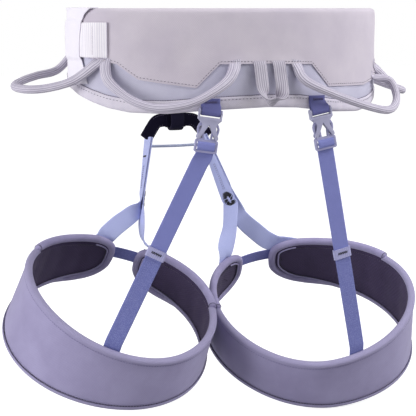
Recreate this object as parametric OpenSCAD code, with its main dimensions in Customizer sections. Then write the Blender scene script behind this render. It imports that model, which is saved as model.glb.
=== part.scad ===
// Climbing harness: a padded waist belt with gear loops, tie-in points and a
// belay loop, and two padded leg loops hung from risers in front and from
// elastic straps with side-release buckles behind.
// X points to the wearer's right, Y to the wearer's front and Z up. The origin
// is the centre of the waist opening, level with the middle of the webbing.

/* [Waist belt] */
// Half width of the belt from side to side, to its outer face
belt_a = 172; // [160:1:185]
// Half depth of the belt from back to front, to its outer face
belt_b = 110; // [104:1:120]
// Height of the belt's top edge
belt_top = 30; // [27:1:36]
// Drop of the belt's bottom edge at the centre back
belt_drop = 64; // [60:1:72]
// Angle from the centre back to each front end of the padding
belt_end = 142; // [138:2:146]
// Width of the waist webbing
web_w = 34; // [28:1:36]
// Thickness of the waist webbing
web_t = 1.7; // [1.2:0.1:1.7]

/* [Tie-in points] */
// Distance of the tie-in bands and the belay loop in front of the origin
tie_y = 136; // [132:1:142]
// Width of the upper tie-in band
upper_w = 22; // [18:1:24]
// Width of the lower tie-in band
lower_w = 18; // [14:1:19]
// Width of the belay loop
belay_w = 16; // [12:1:18]
// Thickness of the belay loop's webbing
belay_t = 3.6; // [2.5:0.1:4]
// Inside radius of the belay loop's bends
belay_r = 5.5; // [5:0.1:6.5]

/* [Leg loops] */
// Half width of a leg loop on its outer side
leg_outer = 117; // [110:1:120]
// Half width of a leg loop on its inner side
leg_inner = 96; // [86:1:96]
// Half depth of a leg loop from back to front
leg_b = 106; // [100:1:108]
// Mean height of a leg loop's band
leg_h = 57; // [50:1:62]
// Tilt of a leg loop, its front above its back
leg_tilt = 25; // [24:1:26]

/* [Straps and buckles] */
// Width of the risers in front of the leg loops
riser_w = 17; // [14:0.5:18]
// Width of the rear straps
strap_w = 17.5; // [14:0.5:17.5]
// Width of the rear tabs that hold the buckles
tab_w = 19; // [16:0.5:19]
// Outside width of a side-release buckle
buckle_w = 23.4; // [23:0.2:24]

/* [Gear loops] */
// Radius of the braided gear loop tube
gear_r = 3.7; // [3:0.1:3.8]
// Width of the haul loop's tape
haul_w = 13.5; // [10:0.5:14]

/* [Hidden] */
$fn = 48;
LEFT = 0;
RIGHT = 1;

// Faces of the belt's layers, as offsets from its nominal outer face
SHELL = [-0.5, 0.5];
PANEL = [-1.4, -0.6];
CHANNEL = -2.35;
FOAM = [-8.3, -3.3];
LINING = [-9.3, -8.4];
belt_step = 4;
trim_h = 10;
panel_lap = 8;

// Belt outline by angle from the centre back, the wearer's left below zero: top
// edge, bottom edge below the centre back's, and the shell's stitched contour
TOP_EDGE = [[0, 0], [104, 0], [122, -2], [134, -6], [138, -8], [142, -13]];
BOTTOM_EDGE = [[-142, 45], [-138, 40], [-134, 37], [-122, 29], [-106, 22], [-92, 18],
    [-84, 15], [-78, 11], [-70, 6], [-60, 0], [-50, -4], [-36, -5], [-24, -2.5], [-12, -1],
    [0, 0], [12, -1.5], [28, -7.5], [44, -9.5], [52, -7.5], [60, -4], [72, 2], [90, 10],
    [106, 17], [122, 26], [134, 35], [138, 39], [142, 45]];
CONTOUR = [[-142, -9], [-108, -15], [-70, -17], [-55, -23], [-46, -38], [-25, -46],
    [-17, -23], [0, -23], [17, -24.5], [25, -47.5], [48, -48.5], [55, -43], [66, -26],
    [108, -16], [142, -9]];
// Flattening of the belt where the strap's tail pulls its left side in
pull_in = 5;
PULL_SPAN = [-150, -66];

// Leg loop: faces of its layers, its attitude on each side and its front gap
LEG_SHELL = [2.4, 3.2];
LEG_FOAM = [-2.2, 2.2];
LEG_LINING = [-3.2, -2.4];
leg_saddle = 4.6;
leg_flare = 4.9;
leg_x = [108, 90.5];
leg_y = [12.5, -4.5];
leg_z = [-269.5, -289];
leg_yaw = [2, -5.5];
leg_lean = [11.5, 7.5];
leg_nod = [-0.3, 0.7];
leg_reach = [[-11, 0.7, 1], [11.7, -1, -1]];
pad_start = [117, 112];
pad_end = [455, 443.5];
pad_round = 14;
pad_rise = 36;
leg_steps = 44;
roll_r = 3.4;
roll_outer_from = [393.5, 379];
roll_inner_to = [187.5, 177.5];

// Risers, rear straps and tabs
riser_t = 1.5;
riser_lift = 1.05;
riser_off = 4.9;
riser_top = [35.5, 131, -120.4];
riser_split = [[50.5, 119, -197], [60.5, 107, -202]];
riser_turn = [16, 46];
RISER_FACE = [-0.4, -0.9, 0.15];
outer_station = [449.5, 438];
inner_station = [122.5, 125];
INNER_TWIST = [[[0.3, -0.95, 0], [0.7, -0.7, 0]], [[0.55, -0.8, 0], [0.8, -0.2, 0]]];
strap_station = [290, 282];
strap_t = 1.4;
tab_t = 1.6;
tab_angle = [20.2, 18.6];
tab_z = [-69.4, -71];
tab_off = [4.8, 7.2];
tab_turn = [0, -16];
buckle_lean = [8.5, 11];
strap_shift = [3, 0];
sleeve_at = [[0.48, 0.53], [0.467, 0.517]];

// Buckle: thickness of its halves and heights down from the webbing bar
bar_r = 1.6;
female_t = 6.4;
plate_t = 1.4;
male_t = 4;
arm_t = 2.8;
frame_top = -26.9;
rung = 2.1;
slot_h = 3.2;

// Gear loop routes: angle from the centre back, distance off the belt, height
GEAR_ROUTES = [
    [[-118, 4.6, -30], [-116, 17, -33], [-108, 34, -38], [-101, 49, -43], [-95, 55, -47],
     [-88, 45, -49], [-82, 28, -47], [-73, 12, -39], [-64, 4.6, -27]],
    [[-60, 4.6, -27], [-57, 8, -38], [-50, 13, -51], [-43, 17, -60], [-36, 18.5, -64],
     [-27, 19, -60], [-20, 15.5, -50], [-14.5, 9.5, -38], [-12, 4.6, -27]],
    [[10.5, 4.6, -27], [12, 9, -40], [22, 17, -55], [36, 25, -69], [48, 29, -74],
     [58, 28, -64], [62, 19, -46], [60, 4.6, -27]],
    [[64, 4.6, -27], [73, 12, -43], [82, 28, -55], [88, 46, -60], [95, 56, -60],
     [101, 49, -55], [108, 32, -45], [116, 16, -36], [118, 4.6, -30]]];

// ---- Curves and swept solids ----

function unit(v) = v / norm(v);
function mix(a, b, k) = a + (b - a) * k;

// One point of a Catmull-Rom curve between b and c
function between(a, b, c, d, s) =
    0.5 * (2 * b + (c - a) * s + (2 * a - 5 * b + 4 * c - d) * s * s
    + (3 * b - a - 3 * c + d) * s * s * s);

// A smooth curve through the rows of P, with per steps from row to row
function curve(P, per) = let (n = len(P) - 1) concat(
    [for (i = [0:n - 1]) for (j = [0:per - 1])
        between(P[max(i - 1, 0)], P[i], P[i + 1], P[min(i + 2, n)], j / per)],
    [P[n]]);

function tangent(P, i) = unit(P[min(i + 1, len(P) - 1)] - P[max(i - 1, 0)]);
function place(row) = [row[0], row[1], row[2]];
function wide(row) = [row[3], row[4], row[5]];

// Solid through a list of rings that all have the same number of points
module skin(rings) {
    m = len(rings[0]);
    n = len(rings) - 1;
    points = [for (r = rings) each r];
    sides = [for (i = [0:n - 1]) for (j = [0:m - 1])
        let (a = i * m + j, b = i * m + (j + 1) % m)
        each [[a, a + m, b + m], [a, b + m, b]]];
    caps = [[for (j = [0:m - 1]) j], [for (j = [m - 1:-1:0]) n * m + j]];
    polyhedron(points, concat(sides, caps), convexity = 10);
}

// Flat strap: rows hold a place, a width direction and a lift along the normal
module ribbon(rows, w, t) {
    path = [for (r = rows) place(r)];
    skin([for (i = [0:len(rows) - 1])
        let (d = tangent(path, i), n = unit(cross(d, wide(rows[i]))), s = cross(n, d),
            p = path[i] + n * rows[i][6])
        [p + s * w / 2 + n * t / 2, p - s * w / 2 + n * t / 2,
         p - s * w / 2 - n * t / 2, p + s * w / 2 - n * t / 2]]);
}

// Round tube along a path that stays roughly in the plane across up
module tube(path, r, up, sides = 8) {
    skin([for (i = [0:len(path) - 1])
        let (d = tangent(path, i), n = unit(cross(up, d)), b = cross(d, n))
        [for (k = [0:sides - 1]) path[i] + r * (n * cos(360 * k / sides) + b * sin(360 * k / sides))]]);
}

function row(p, w, lift = 0) = concat(p, w, [lift]);

// ---- Places on the belt ----

function pulled(u) = let (v = u > 180 ? u - 360 : u,
    k = (v - PULL_SPAN[0]) / (PULL_SPAN[1] - PULL_SPAN[0]))
    k > 0 && k < 1 ? pull_in * pow(sin(180 * k), 2) : 0;
function belt_pt(u, off, z) = let (o = off - pulled(u))
    [(belt_a + o) * sin(u), -(belt_b + o) * cos(u), z];
function top_z(u) = belt_top + lookup(abs(u), TOP_EDGE);
function bottom_z(u) = -belt_drop + lookup(u, BOTTOM_EDGE);
function contour_z(u) = lookup(u, CONTOUR);
function across(u) = unit([(belt_b) * sin(u), -(belt_a) * cos(u), 0]);
function along(u) = cross([0, 0, 1], across(u));

module belt_layer(faces, low, high) {
    skin([for (u = [-belt_end:belt_step:belt_end])
        [belt_pt(u, faces[0], high[u + belt_end]), belt_pt(u, faces[1], high[u + belt_end]),
         belt_pt(u, faces[1], low[u + belt_end]), belt_pt(u, faces[0], low[u + belt_end])]]);
}

function heights(kind) = [for (i = [0:2 * belt_end]) let (u = i - belt_end)
    kind == "top" ? top_z(u) : kind == "bottom" ? bottom_z(u)
    : kind == "contour" ? contour_z(u) : contour_z(u) + panel_lap];

module waist_shell() color("#cdc6d0") belt_layer(SHELL, heights("contour"), heights("top"));
module waist_lower_panel() color("#b4b4cd") belt_layer(PANEL, heights("bottom"), heights("lap"));
module waist_foam() color("#8f8a99") belt_layer(FOAM, heights("bottom"), heights("top"));
module waist_lining() color("#46374f") belt_layer(LINING, heights("bottom"), heights("top"));

// Folded trim that wraps the bottom edge of every layer
module waist_bottom_trim() color("#ded6de") {
    outer = SHELL[1] + 0.2;
    inner = LINING[0] - 0.1;
    skin([for (u = [-belt_end:belt_step:belt_end]) let (z = bottom_z(u))
        [belt_pt(u, outer, z - 1.3), belt_pt(u, inner - 0.8, z - 1.3),
         belt_pt(u, inner - 0.8, z + trim_h / 2), belt_pt(u, inner, z + trim_h / 2),
         belt_pt(u, inner, z - 0.1), belt_pt(u, PANEL[1] + 0.1, z - 0.1),
         belt_pt(u, PANEL[1] + 0.1, z + trim_h), belt_pt(u, outer, z + trim_h)]]);
}

// ---- Waist webbing and buckle ----

buckle_u = 205;
buckle_base = belt_pt(buckle_u, CHANNEL, 0);
function at_waist_buckle(s, n) = buckle_base - along(buckle_u) * s + across(buckle_u) * n;
function flat(p) = row(p, [0, 0, 1]);

// Webbing round the back and across the front, folded round the buckle's bar
module waist_webbing() color("#e4e2ec") ribbon(concat(
    [for (u = [-108:belt_step:192]) flat(belt_pt(u, CHANNEL, 0))],
    curve([for (p = [[22.7, -1.2], [18, -0.5], [13, 0], [11.3, 0.6], [10.6, 2.7], [11.3, 4.8],
        [13, 5.4], [17, 5.35], [19.2, 3.9], [21.4, 2], [24.4, 0.75]])
        flat(at_waist_buckle(p[0], p[1]))], 2),
    [for (u = [195.4, 194.2, 193]) flat(belt_pt(u, CHANNEL + web_t + 0.12, 0))]), web_w, web_t);

// Strap from inside the left pad, round the slider and back over the pad
module adjusting_strap() color("#f0eef5") ribbon(concat(
    [for (u = [-114:-belt_step:-146]) flat(belt_pt(u, CHANNEL, 0))],
    curve([for (p = [[-14, -0.3], [-11.2, 0.2], [-8.5, 1.6], [-6, 3], [-3.4, 4.2], [-2.6, 6.4],
        [-3.6, 8.8], [-6, 9.65], [-9, 9], [-13, 7.6], [-17.5, 6.2], [-24, 3.8]])
        flat(at_waist_buckle(p[0], p[1]))], 2),
    [for (u = [-142:belt_step:-62]) flat(belt_pt(u, 1.75, 0))]), web_w, web_t);

module waist_buckle_frame() color("#b9b7c6") waist_buckle_place() {
    side = web_w / 2 + 1;
    rail = 4.5;
    translate([0, 1.2, 0]) rotate([-90, 0, 0]) linear_extrude(3) difference() {
        rounded_plate(34, 2 * (side + rail), 4);
        translate([-12, -side]) square([11.5, 2 * side]);
        translate([3.5, -side]) square([8.5, 2 * side]);
    }
}

module waist_buckle_slider() color("#a9a7b8") waist_buckle_place() {
    reach = web_w / 2 + 4.5;
    for (bar = [[-6, 6.4], [2.6, 6.6]])
        translate([bar[0], bar[1], -reach]) cylinder(r = 2, h = 2 * reach);
    for (z = [-reach, reach - 2.4])
        translate([-6, 5.4, z]) cube([8.6, 2.4, 2.4]);
}

module waist_buckle_place() {
    n = across(buckle_u);
    translate(buckle_base) rotate([0, 0, atan2(n.y, n.x) - 90]) children();
}

module rounded_plate(w, h, r) {
    square([w - 2 * r, h], center = true);
    square([w, h - 2 * r], center = true);
    for (x = [r - w / 2, w / 2 - r], y = [r - h / 2, h / 2 - r]) translate([x, y]) circle(r);
}

// Elastic band round the whole height of the belt that holds the strap's tail
module strap_keeper() color("#d7d2eb") difference() {
    keeper_body(0.8, [-88:3:-76]);
    keeper_body(0, [-91:3:-73]);
}

module keeper_body(wall, stations) {
    inside = LINING[0] - 1.2 - wall;
    outside = 2.9 + wall;
    top = belt_top + 0.6 + wall;
    skin([for (u = stations) let (low = bottom_z(u) - 1.9 - wall)
        [belt_pt(u, inside, top), belt_pt(u, outside, top),
         belt_pt(u, outside, low), belt_pt(u, inside, low)]]);
}

// ---- Tie-in points and belay loop ----

band_t = 3.2;
belay_top = upper_w / 2 - 4;
lower_z = -95;
belay_bottom = lower_z - lower_w / 2 + 4;

// Band sewn to the webbing and arched forward, so that a rope passes behind it
module upper_tie_in() color("#221f2e") {
    foot = CHANNEL + web_t / 2 + 0.1 + band_t / 2;
    half = [[16, 9], [13.2, 19.5], [8, tie_y - belt_b - 0.8]];
    left = [for (p = half) [-p[0], belt_b + p[1], 0]];
    right = [for (i = [2:-1:0]) [half[i][0], belt_b + half[i][1], 0]];
    arch = curve(concat([belt_pt(187, foot, 0)], left, [[0, tie_y, 0]], right,
        [belt_pt(173, foot, 0)]), 4);
    path = concat([belt_pt(191.5, foot, 0), belt_pt(189, foot, 0)], arch,
        [belt_pt(171, foot, 0), belt_pt(168.5, foot, 0)]);
    ribbon([for (p = path) flat(p)], upper_w, band_t);
}

// Sleeve over the risers' top, which hangs in the belay loop
module lower_tie_in() color("#1c1a29") {
    half = [[35.5, 131, -119], [32, 132.5, -111.8], [24.5, 135, -103], [13.5, tie_y, -96.3]];
    path = concat([for (p = half) [-p.x, p.y, p.z]], [[0, tie_y, lower_z]],
        [for (i = [3:-1:0]) half[i]]);
    smooth = curve(path, 3);
    ribbon([for (i = [0:len(smooth) - 1])
        row(smooth[i], cross(tangent(smooth, i), [0, 1, 0]))], lower_w, band_t);
}

// Sewn ring of webbing round both tie-in bands
module belay_loop() color("#262336") translate([-belay_w / 2, 0, 0]) rotate([90, 0, 90])
    linear_extrude(belay_w) difference() {
        slot_outline(belay_r + belay_t);
        slot_outline(belay_r);
    }

module slot_outline(r) {
    for (z = [belay_bottom, belay_top]) translate([tie_y, z]) circle(r);
    translate([tie_y - r, belay_bottom]) square([2 * r, belay_top - belay_bottom]);
}

// Thin cord between the two risers
module riser_link_cord() color("#b9c4e6") translate([0, riser_top.y, -126]) {
    rotate([0, 90, 0]) translate([0, 0, -33]) cylinder(r = 1.6, h = 66);
}

// ---- Gear loops and haul loop ----

module gear_loop(k) color("#cbc6d6") {
    route = GEAR_ROUTES[k];
    path = curve([for (p = route) belt_pt(p[0], p[1], p[2])], len(route) > 8 ? 3 : 4);
    middle = path[floor(len(path) / 2)];
    tube(path, gear_r, unit(cross(path[len(path) - 1] - path[0], middle - path[0])));
}

// Flat tape behind the belt, folded over where it turns back up
module haul_loop() color("#c9c5d5") {
    half = [[10.4, 3.2, -25, 1, 0, 0], [10.4, 6.5, -36, 1, 0, 0], [10.3, 10, -47, 1, 0.1, 0],
        [8, 12, -55.5, 0.45, 0.8, 0]];
    rows = concat([for (h = half) row([-h[0], -belt_b - h[1], h[2]], [h[3], h[4], h[5]])],
        [row([0, -belt_b - 12.5, -59.5], [0, 0.7, -0.72])],
        [for (i = [3:-1:0]) let (h = half[i])
            row([h[0], -belt_b - h[1], h[2]], [-h[3], h[4], h[5]])]);
    ribbon(curve(rows, 4), haul_w, 1.8);
}

// ---- Leg loops, drawn on the right-hand side and mirrored for the left ----

module on_side(s) mirror([s == LEFT ? 1 : 0, 0, 0]) children();

function turn_x(v, a) = [v.x, v.y * cos(a) - v.z * sin(a), v.y * sin(a) + v.z * cos(a)];
function turn_y(v, a) = [v.x * cos(a) + v.z * sin(a), v.y, v.z * cos(a) - v.x * sin(a)];
function turn_z(v, a) = [v.x * cos(a) - v.y * sin(a), v.x * sin(a) + v.y * cos(a), v.z];
function leg_place(s, v) = turn_z(turn_y(turn_x(v, leg_tilt + leg_nod[s]), -leg_lean[s]), leg_yaw[s])
    + [leg_x[s], leg_y[s], leg_z[s]];

// Band height by station, lowest on the inner side of the thigh
function band_h(t) = leg_h - 3 * sin(t) + 14 * cos(t) + 5 * cos(2 * t);

// Point on the band: station round the thigh, offset outward, height from the rim
function leg_pt(s, t, off, z) = let (w = -leg_flare * z / band_h(t) + off,
    a = cos(t) > 0 ? leg_outer + leg_reach[s][0] : leg_inner + leg_reach[s][1])
    leg_place(s, [(a + w) * cos(t), (leg_b + leg_reach[s][2] + w) * sin(t),
        leg_saddle * cos(2 * t) + z]);

// The band narrows to a rounded nose on each side of the front gap
function end_gap(s, t) = max(0, min(t - pad_start[s], pad_end[s] - t));
function end_round(e) = e >= pad_round ? 0 : 1 - sqrt(1 - pow(1 - e / pad_round, 2));
function rim_z(s, t) = -0.22 * band_h(t) * end_round(end_gap(s, t));
function hem_z(s, t) = let (e = end_gap(s, t), k = max(0, 1 - e / pad_rise))
    band_h(t) * (0.42 * end_round(e) + 0.12 * k * k - 1);
function edge_z(s, t, up) = up > 0 ? rim_z(s, t) : hem_z(s, t);
function stations(from, to, n) = [for (i = [0:n]) mix(from, to, i / n)];

module leg_layer(s, faces) {
    ends = [0, 0.6, 1.5, 3.5, 6.5, 10];
    list = concat([for (e = ends) pad_start[s] + e],
        stations(pad_start[s] + pad_round, pad_end[s] - pad_round, leg_steps - 8),
        [for (i = [5:-1:0]) pad_end[s] - ends[i]]);
    skin([for (t = list)
        [leg_pt(s, t, faces[0], rim_z(s, t)), leg_pt(s, t, faces[1], rim_z(s, t)),
         leg_pt(s, t, faces[1], hem_z(s, t)), leg_pt(s, t, faces[0], hem_z(s, t))]]);
}

module leg_shell(s) color("#968fb8") on_side(s) leg_layer(s, LEG_SHELL);
module leg_foam(s) color("#7f7a92") on_side(s) leg_layer(s, LEG_FOAM);
module leg_lining(s) color("#463750") on_side(s) leg_layer(s, LEG_LINING);

// Edge of the band moved squarely outward by a gap: rim (up = 1) or hem (-1)
function roll_at(s, t, gap, up) = let (degree = leg_b * PI / 180,
    out = up * unit([(edge_z(s, t - 0.4, up) - edge_z(s, t + 0.4, up)) / (0.8 * degree), 1]))
    [t + gap * out.x / degree, edge_z(s, t, up) + gap * out.y];

// Rolled edge round each front end, from the rim over the end to the hem
module leg_front_rolls(s) color("#8d86b0") on_side(s) {
    gap = roll_r + 0.3;
    turn = gap / (leg_b * PI / 180);
    corner = [18, 12.5, 8.5, 5, 2.2, 0.6];
    for (end = [[pad_end[s], -1, roll_outer_from[s]], [pad_start[s], 1, roll_inner_to[s]]]) {
        tip = [for (k = [0.2, 0.8]) [end[0] - end[1] * turn, mix(rim_z(s, end[0]), hem_z(s, end[0]), k)]];
        route = concat([for (t = stations(end[2], end[0] + 24 * end[1], 6)) roll_at(s, t, gap, 1)],
            [for (e = corner) roll_at(s, end[0] + e * end[1], gap, 1)], tip,
            [for (i = [5:-1:0]) roll_at(s, end[0] + corner[i] * end[1], gap, -1)],
            [roll_at(s, end[0] + 25 * end[1], gap, -1)]);
        path = [for (q = route) leg_pt(s, q[0], 0, q[1])];
        face = [for (q = route) leg_pt(s, q[0], 1, q[1]) - leg_pt(s, q[0], 0, q[1])];
        skin([for (i = [0:len(path) - 1])
            let (d = tangent(path, i), b = unit(cross(d, cross(face[i], d))), n = cross(b, d))
            [for (k = [0:7]) path[i] + roll_r * (n * cos(45 * k) + b * sin(45 * k))]]);
    }
}

// Low binding strip that caps a stretch of the band's rim (up = 1) or hem (-1)
module binding(s, from, to, up) {
    half = LEG_SHELL[1] + 0.4;
    n = ceil(abs(to - from) / 7.5);
    outline = [[-half, 1.5], [-half / 2, 2.6], [half / 2, 2.6], [half, 1.5], [half, 0.1],
        [-half, 0.1]];
    skin([for (t = up > 0 ? stations(from, to, n) : stations(to, from, n))
        [for (q = outline) leg_pt(s, t, q[0], edge_z(s, t, up) + up * q[1])]]);
}

module leg_top_binding(s) color("#a49dc4") on_side(s)
    binding(s, roll_inner_to[s] + 4, roll_outer_from[s] - 4, 1);
module leg_bottom_binding(s) color("#a49dc4") on_side(s)
    binding(s, pad_start[s] + 29, pad_end[s] - 29, -1);

// Elastic that joins the two ends of the pad across the front gap
module leg_front_elastic(s) color("#8b90cc") on_side(s) {
    level = -20;
    ribbon([for (t = stations(pad_start[s] + 5, pad_end[s] - 365, 8))
        row(leg_pt(s, t, 3.75, level), leg_pt(s, t, 3.75, level + 5) - leg_pt(s, t, 3.75, level - 5))],
        15, 0.6);
}

// ---- Risers ----

function rim_dir(s, t, z) = unit(leg_pt(s, t - 4, 0, z) - leg_pt(s, t + 4, 0, z));

// Both riser straps run face to face down to the split and part there
module riser(s, station, lift, bends) {
    stem = [for (k = [0:0.1:1]) let (turn = riser_turn[s] * k)
        row(mix(riser_top, riser_split[s], k), [sin(turn), -cos(turn), 0],
            lift * max(1, 10 * k - 7.4))];
    anchor = [for (z = [9, -1, -10, -17])
        row(leg_pt(s, station, riser_off, z), rim_dir(s, station, z))];
    ribbon(curve(concat(stem, bends, anchor), 3), riser_w, riser_t);
}

module riser_outer(s) color("#afc3eb") on_side(s) {
    a = riser_split[s];
    b = leg_pt(s, outer_station[s], riser_off, 9);
    broad = unit(cross(b - a, RISER_FACE));
    riser(s, outer_station[s], -riser_lift, [
        row(mix(a, b, 0.3) + [0, 1.5, 2], broad),
        row(mix(a, b, 0.65) + [1, 2, 3], broad)]);
}

module riser_inner(s) color("#b8cbf0") on_side(s) {
    a = riser_split[s];
    b = leg_pt(s, inner_station[s], riser_off, 9);
    riser(s, inner_station[s], riser_lift, [
        row(mix(a, b, 0.35), unit(INNER_TWIST[s][0])),
        row(mix(a, b, 0.7), unit(INNER_TWIST[s][1]))]);
}

// ---- Rear tabs, buckles and straps ----

function tab_base(s) = belt_pt(tab_angle[s], tab_off[s], tab_z[s]);
function tab_yaw(s) = let (e = along(tab_angle[s])) atan2(e.y, e.x) + tab_turn[s];
function buckle_dir(s, v) = turn_z(turn_y(v, -buckle_lean[s]), tab_yaw(s));
function buckle_pt(s, v) = buckle_dir(s, v) + tab_base(s);
module at_buckle(s) translate(tab_base(s)) rotate([0, 0, tab_yaw(s)])
    rotate([0, -buckle_lean[s], 0]) children();

// Webbing sewn over the trim and folded round the female buckle's bar
module rear_tab(s) color("#7272bb") on_side(s) {
    level = along(tab_angle[s]);
    leaned = buckle_dir(s, [1, 0, 0]);
    r = bar_r + 0.45 + tab_t / 2;
    ribbon(curve(concat(
        [row(belt_pt(tab_angle[s], 1.9, -52), level), row(belt_pt(tab_angle[s], 1.9, -60), level),
         row(buckle_pt(s, [0, r, 4.4]), leaned)],
        [for (a = [0:45:180]) row(buckle_pt(s, [0, r * cos(a), -r * sin(a)]), leaned)],
        [row(buckle_pt(s, [0, -1, 4.8]), leaned), row(belt_pt(tab_angle[s], 3.8, -60), level),
         row(belt_pt(tab_angle[s], 3.6, -52), level)]), 3), tab_w, tab_t);
}

module mirror_pair() {
    children();
    mirror([1, 0, 0]) children();
}

// Flat plate of a buckle: its outline lies across the thickness from y0 to y1
module buckle_plate(y0, y1) translate([0, y1, 0]) rotate([90, 0, 0])
    linear_extrude(y1 - y0) children();

// Upper half: webbing bar, head, and two plates with a notch between their feet
module buckle_female(s) color("#afacc8") on_side(s) at_buckle(s) {
    half = buckle_w / 2;
    cheek = 1.6;
    translate([-half + 0.5, 0, 0]) rotate([0, 90, 0]) cylinder(r = bar_r, h = buckle_w - 1);
    mirror_pair() translate([half - cheek, 0, 0]) rotate([0, 90, 0]) cylinder(d = female_t, h = cheek);
    inset = 0.15;
    mirror_pair() translate([half - cheek + inset, inset - female_t / 2, -6.5])
        cube([cheek - 2 * inset, female_t - 2 * inset, 6.5]);
    translate([inset - half, -inset - female_t / 2, -7.4])
        cube([buckle_w - 2 * inset, female_t + 2 * inset, 2.4]);
    translate([-2.4, inset - female_t / 2, -12.5]) cube([4.8, female_t - 2 * inset, 6]);
    for (y = [-female_t / 2, female_t / 2 - plate_t]) buckle_plate(y, y + plate_t) female_outline();
}

module female_outline() difference() {
    union() {
        mirror_pair() polygon([[0, -6], [buckle_w / 2, -6], [10.6, -8], [7.2, -11.6], [6.9, -14],
            [8.2, -18.5], [10.4, -23.4], [10.6, -25.2], [9.6, -26.5], [8, -26.5], [0, -12]]);
    }
    translate([0, -31]) mirror_pair() polygon([[0, 17.8], [0, 0], [7.4, 0], [6.6, 5.6], [3.6, 11]]);
    mirror_pair() translate([12.6, -13]) circle(4.6);
}

// Lower half: a ladder that the strap threads through, and two sprung side arms
module buckle_male(s) color("#b5b2cf") on_side(s) at_buckle(s) {
    height = 3 * rung + 2 * slot_h;
    buckle_plate(-male_t / 2, male_t / 2) difference() {
        translate([0, frame_top - height / 2]) rounded_plate(buckle_w - 0.6, height, 2);
        for (z = [frame_top - rung - slot_h, frame_top - 2 * rung - 2 * slot_h])
            translate([-9.2, z]) square([18.4, slot_h]);
    }
    buckle_plate(-arm_t / 2, arm_t / 2) mirror_pair() difference() {
        polygon([[3.1, -27.5], [3.4, -21], [4.4, -14], [3.9, -9.2], [5, -8], [6.6, -8.4],
            [9.4, -11.4], [11, -15], [11, -18.4], [9.9, -22.5], [10, -27.5]]);
        polygon([[5.1, -25.4], [5.3, -20], [6.2, -14.8], [7.4, -12.8], [9, -15.2], [8.9, -18.2],
            [8, -22], [7.9, -25.4]]);
    }
}

function strap_foot(s) = leg_pt(s, strap_station[s], -4.6, 9);
function strap_start(s) = buckle_pt(s, [strap_shift[s], 3, -50]);
function strap_row(s, k) = row(mix(strap_start(s), strap_foot(s), k),
    unit(mix(buckle_dir(s, [1, 0, 0]), -rim_dir(s, strap_station[s], 0), k)));

// Row of the strap's line at a share of the sleeve's length
function in_sleeve(s, k) = strap_row(s, mix(sleeve_at[s][0], sleeve_at[s][1], k));

// Webbing threaded over the ladder's middle rung, down to the elastic
module rear_strap(s) color("#7474be") on_side(s) {
    across_strap = buckle_dir(s, [1, 0, 0]);
    ribbon(concat(curve(concat(
        [for (p = [[3, -27.4], [3, -28.7], [1.5, -30], [-1.5, -31], [-3, -32.2], [-3, -34.2],
            [-1.5, -35.4], [1.5, -36.4], [3, -37.8], [3, -42]])
            row(buckle_pt(s, [0, p[0], p[1]]), across_strap)],
        [strap_row(s, 0)]), 2), [strap_row(s, 0.06), strap_row(s, 0.25), in_sleeve(s, 0.47)]),
        strap_w, strap_t);
}

// Flat sleeve, bar-tacked where the webbing meets the elastic
module elastic_sleeve(s) color("#bdb6e0") on_side(s) difference() {
    ribbon([in_sleeve(s, 0), in_sleeve(s, 1)], strap_w + 2.4, strap_t + 2.6);
    ribbon([in_sleeve(s, -0.2), in_sleeve(s, 1.2)], strap_w + 0.8, strap_t + 0.9);
}

// Elastic from the sleeve to the inside face of the leg loop
module rear_elastic(s) color("#7b7bc6") on_side(s) {
    t = strap_station[s];
    inside = [for (z = [9, 0, -10, -22]) row(leg_pt(s, t, -4.6, z), -rim_dir(s, t, z))];
    ribbon(concat([in_sleeve(s, 0.53)], [for (k = [0.6, 0.75, 0.9]) strap_row(s, k)],
        curve(inside, 2)), strap_w, strap_t);
}

waist_shell();
waist_lower_panel();
waist_foam();
waist_lining();
waist_bottom_trim();
waist_webbing();
adjusting_strap();
strap_keeper();
waist_buckle_frame();
waist_buckle_slider();
upper_tie_in();
lower_tie_in();
belay_loop();
riser_link_cord();
gear_loop(0);  // gear_loop_front_left
gear_loop(1);  // gear_loop_rear_left
gear_loop(2);  // gear_loop_rear_right
gear_loop(3);  // gear_loop_front_right
haul_loop();
leg_shell(LEFT);  // left_leg_shell
leg_foam(LEFT);  // left_leg_foam
leg_lining(LEFT);  // left_leg_lining
leg_front_rolls(LEFT);  // left_leg_front_rolls
leg_top_binding(LEFT);  // left_leg_top_binding
leg_bottom_binding(LEFT);  // left_leg_bottom_binding
leg_front_elastic(LEFT);  // left_leg_front_elastic
riser_outer(LEFT);  // left_riser_outer
riser_inner(LEFT);  // left_riser_inner
rear_tab(LEFT);  // left_rear_tab
buckle_female(LEFT);  // left_buckle_female
buckle_male(LEFT);  // left_buckle_male
rear_strap(LEFT);  // left_rear_strap
elastic_sleeve(LEFT);  // left_elastic_sleeve
rear_elastic(LEFT);  // left_rear_elastic
leg_shell(RIGHT);  // right_leg_shell
leg_foam(RIGHT);  // right_leg_foam
leg_lining(RIGHT);  // right_leg_lining
leg_front_rolls(RIGHT);  // right_leg_front_rolls
leg_top_binding(RIGHT);  // right_leg_top_binding
leg_bottom_binding(RIGHT);  // right_leg_bottom_binding
leg_front_elastic(RIGHT);  // right_leg_front_elastic
riser_outer(RIGHT);  // right_riser_outer
riser_inner(RIGHT);  // right_riser_inner
rear_tab(RIGHT);  // right_rear_tab
buckle_female(RIGHT);  // right_buckle_female
buckle_male(RIGHT);  // right_buckle_male
rear_strap(RIGHT);  // right_rear_strap
elastic_sleeve(RIGHT);  // right_elastic_sleeve
rear_elastic(RIGHT);  // right_rear_elastic
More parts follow.
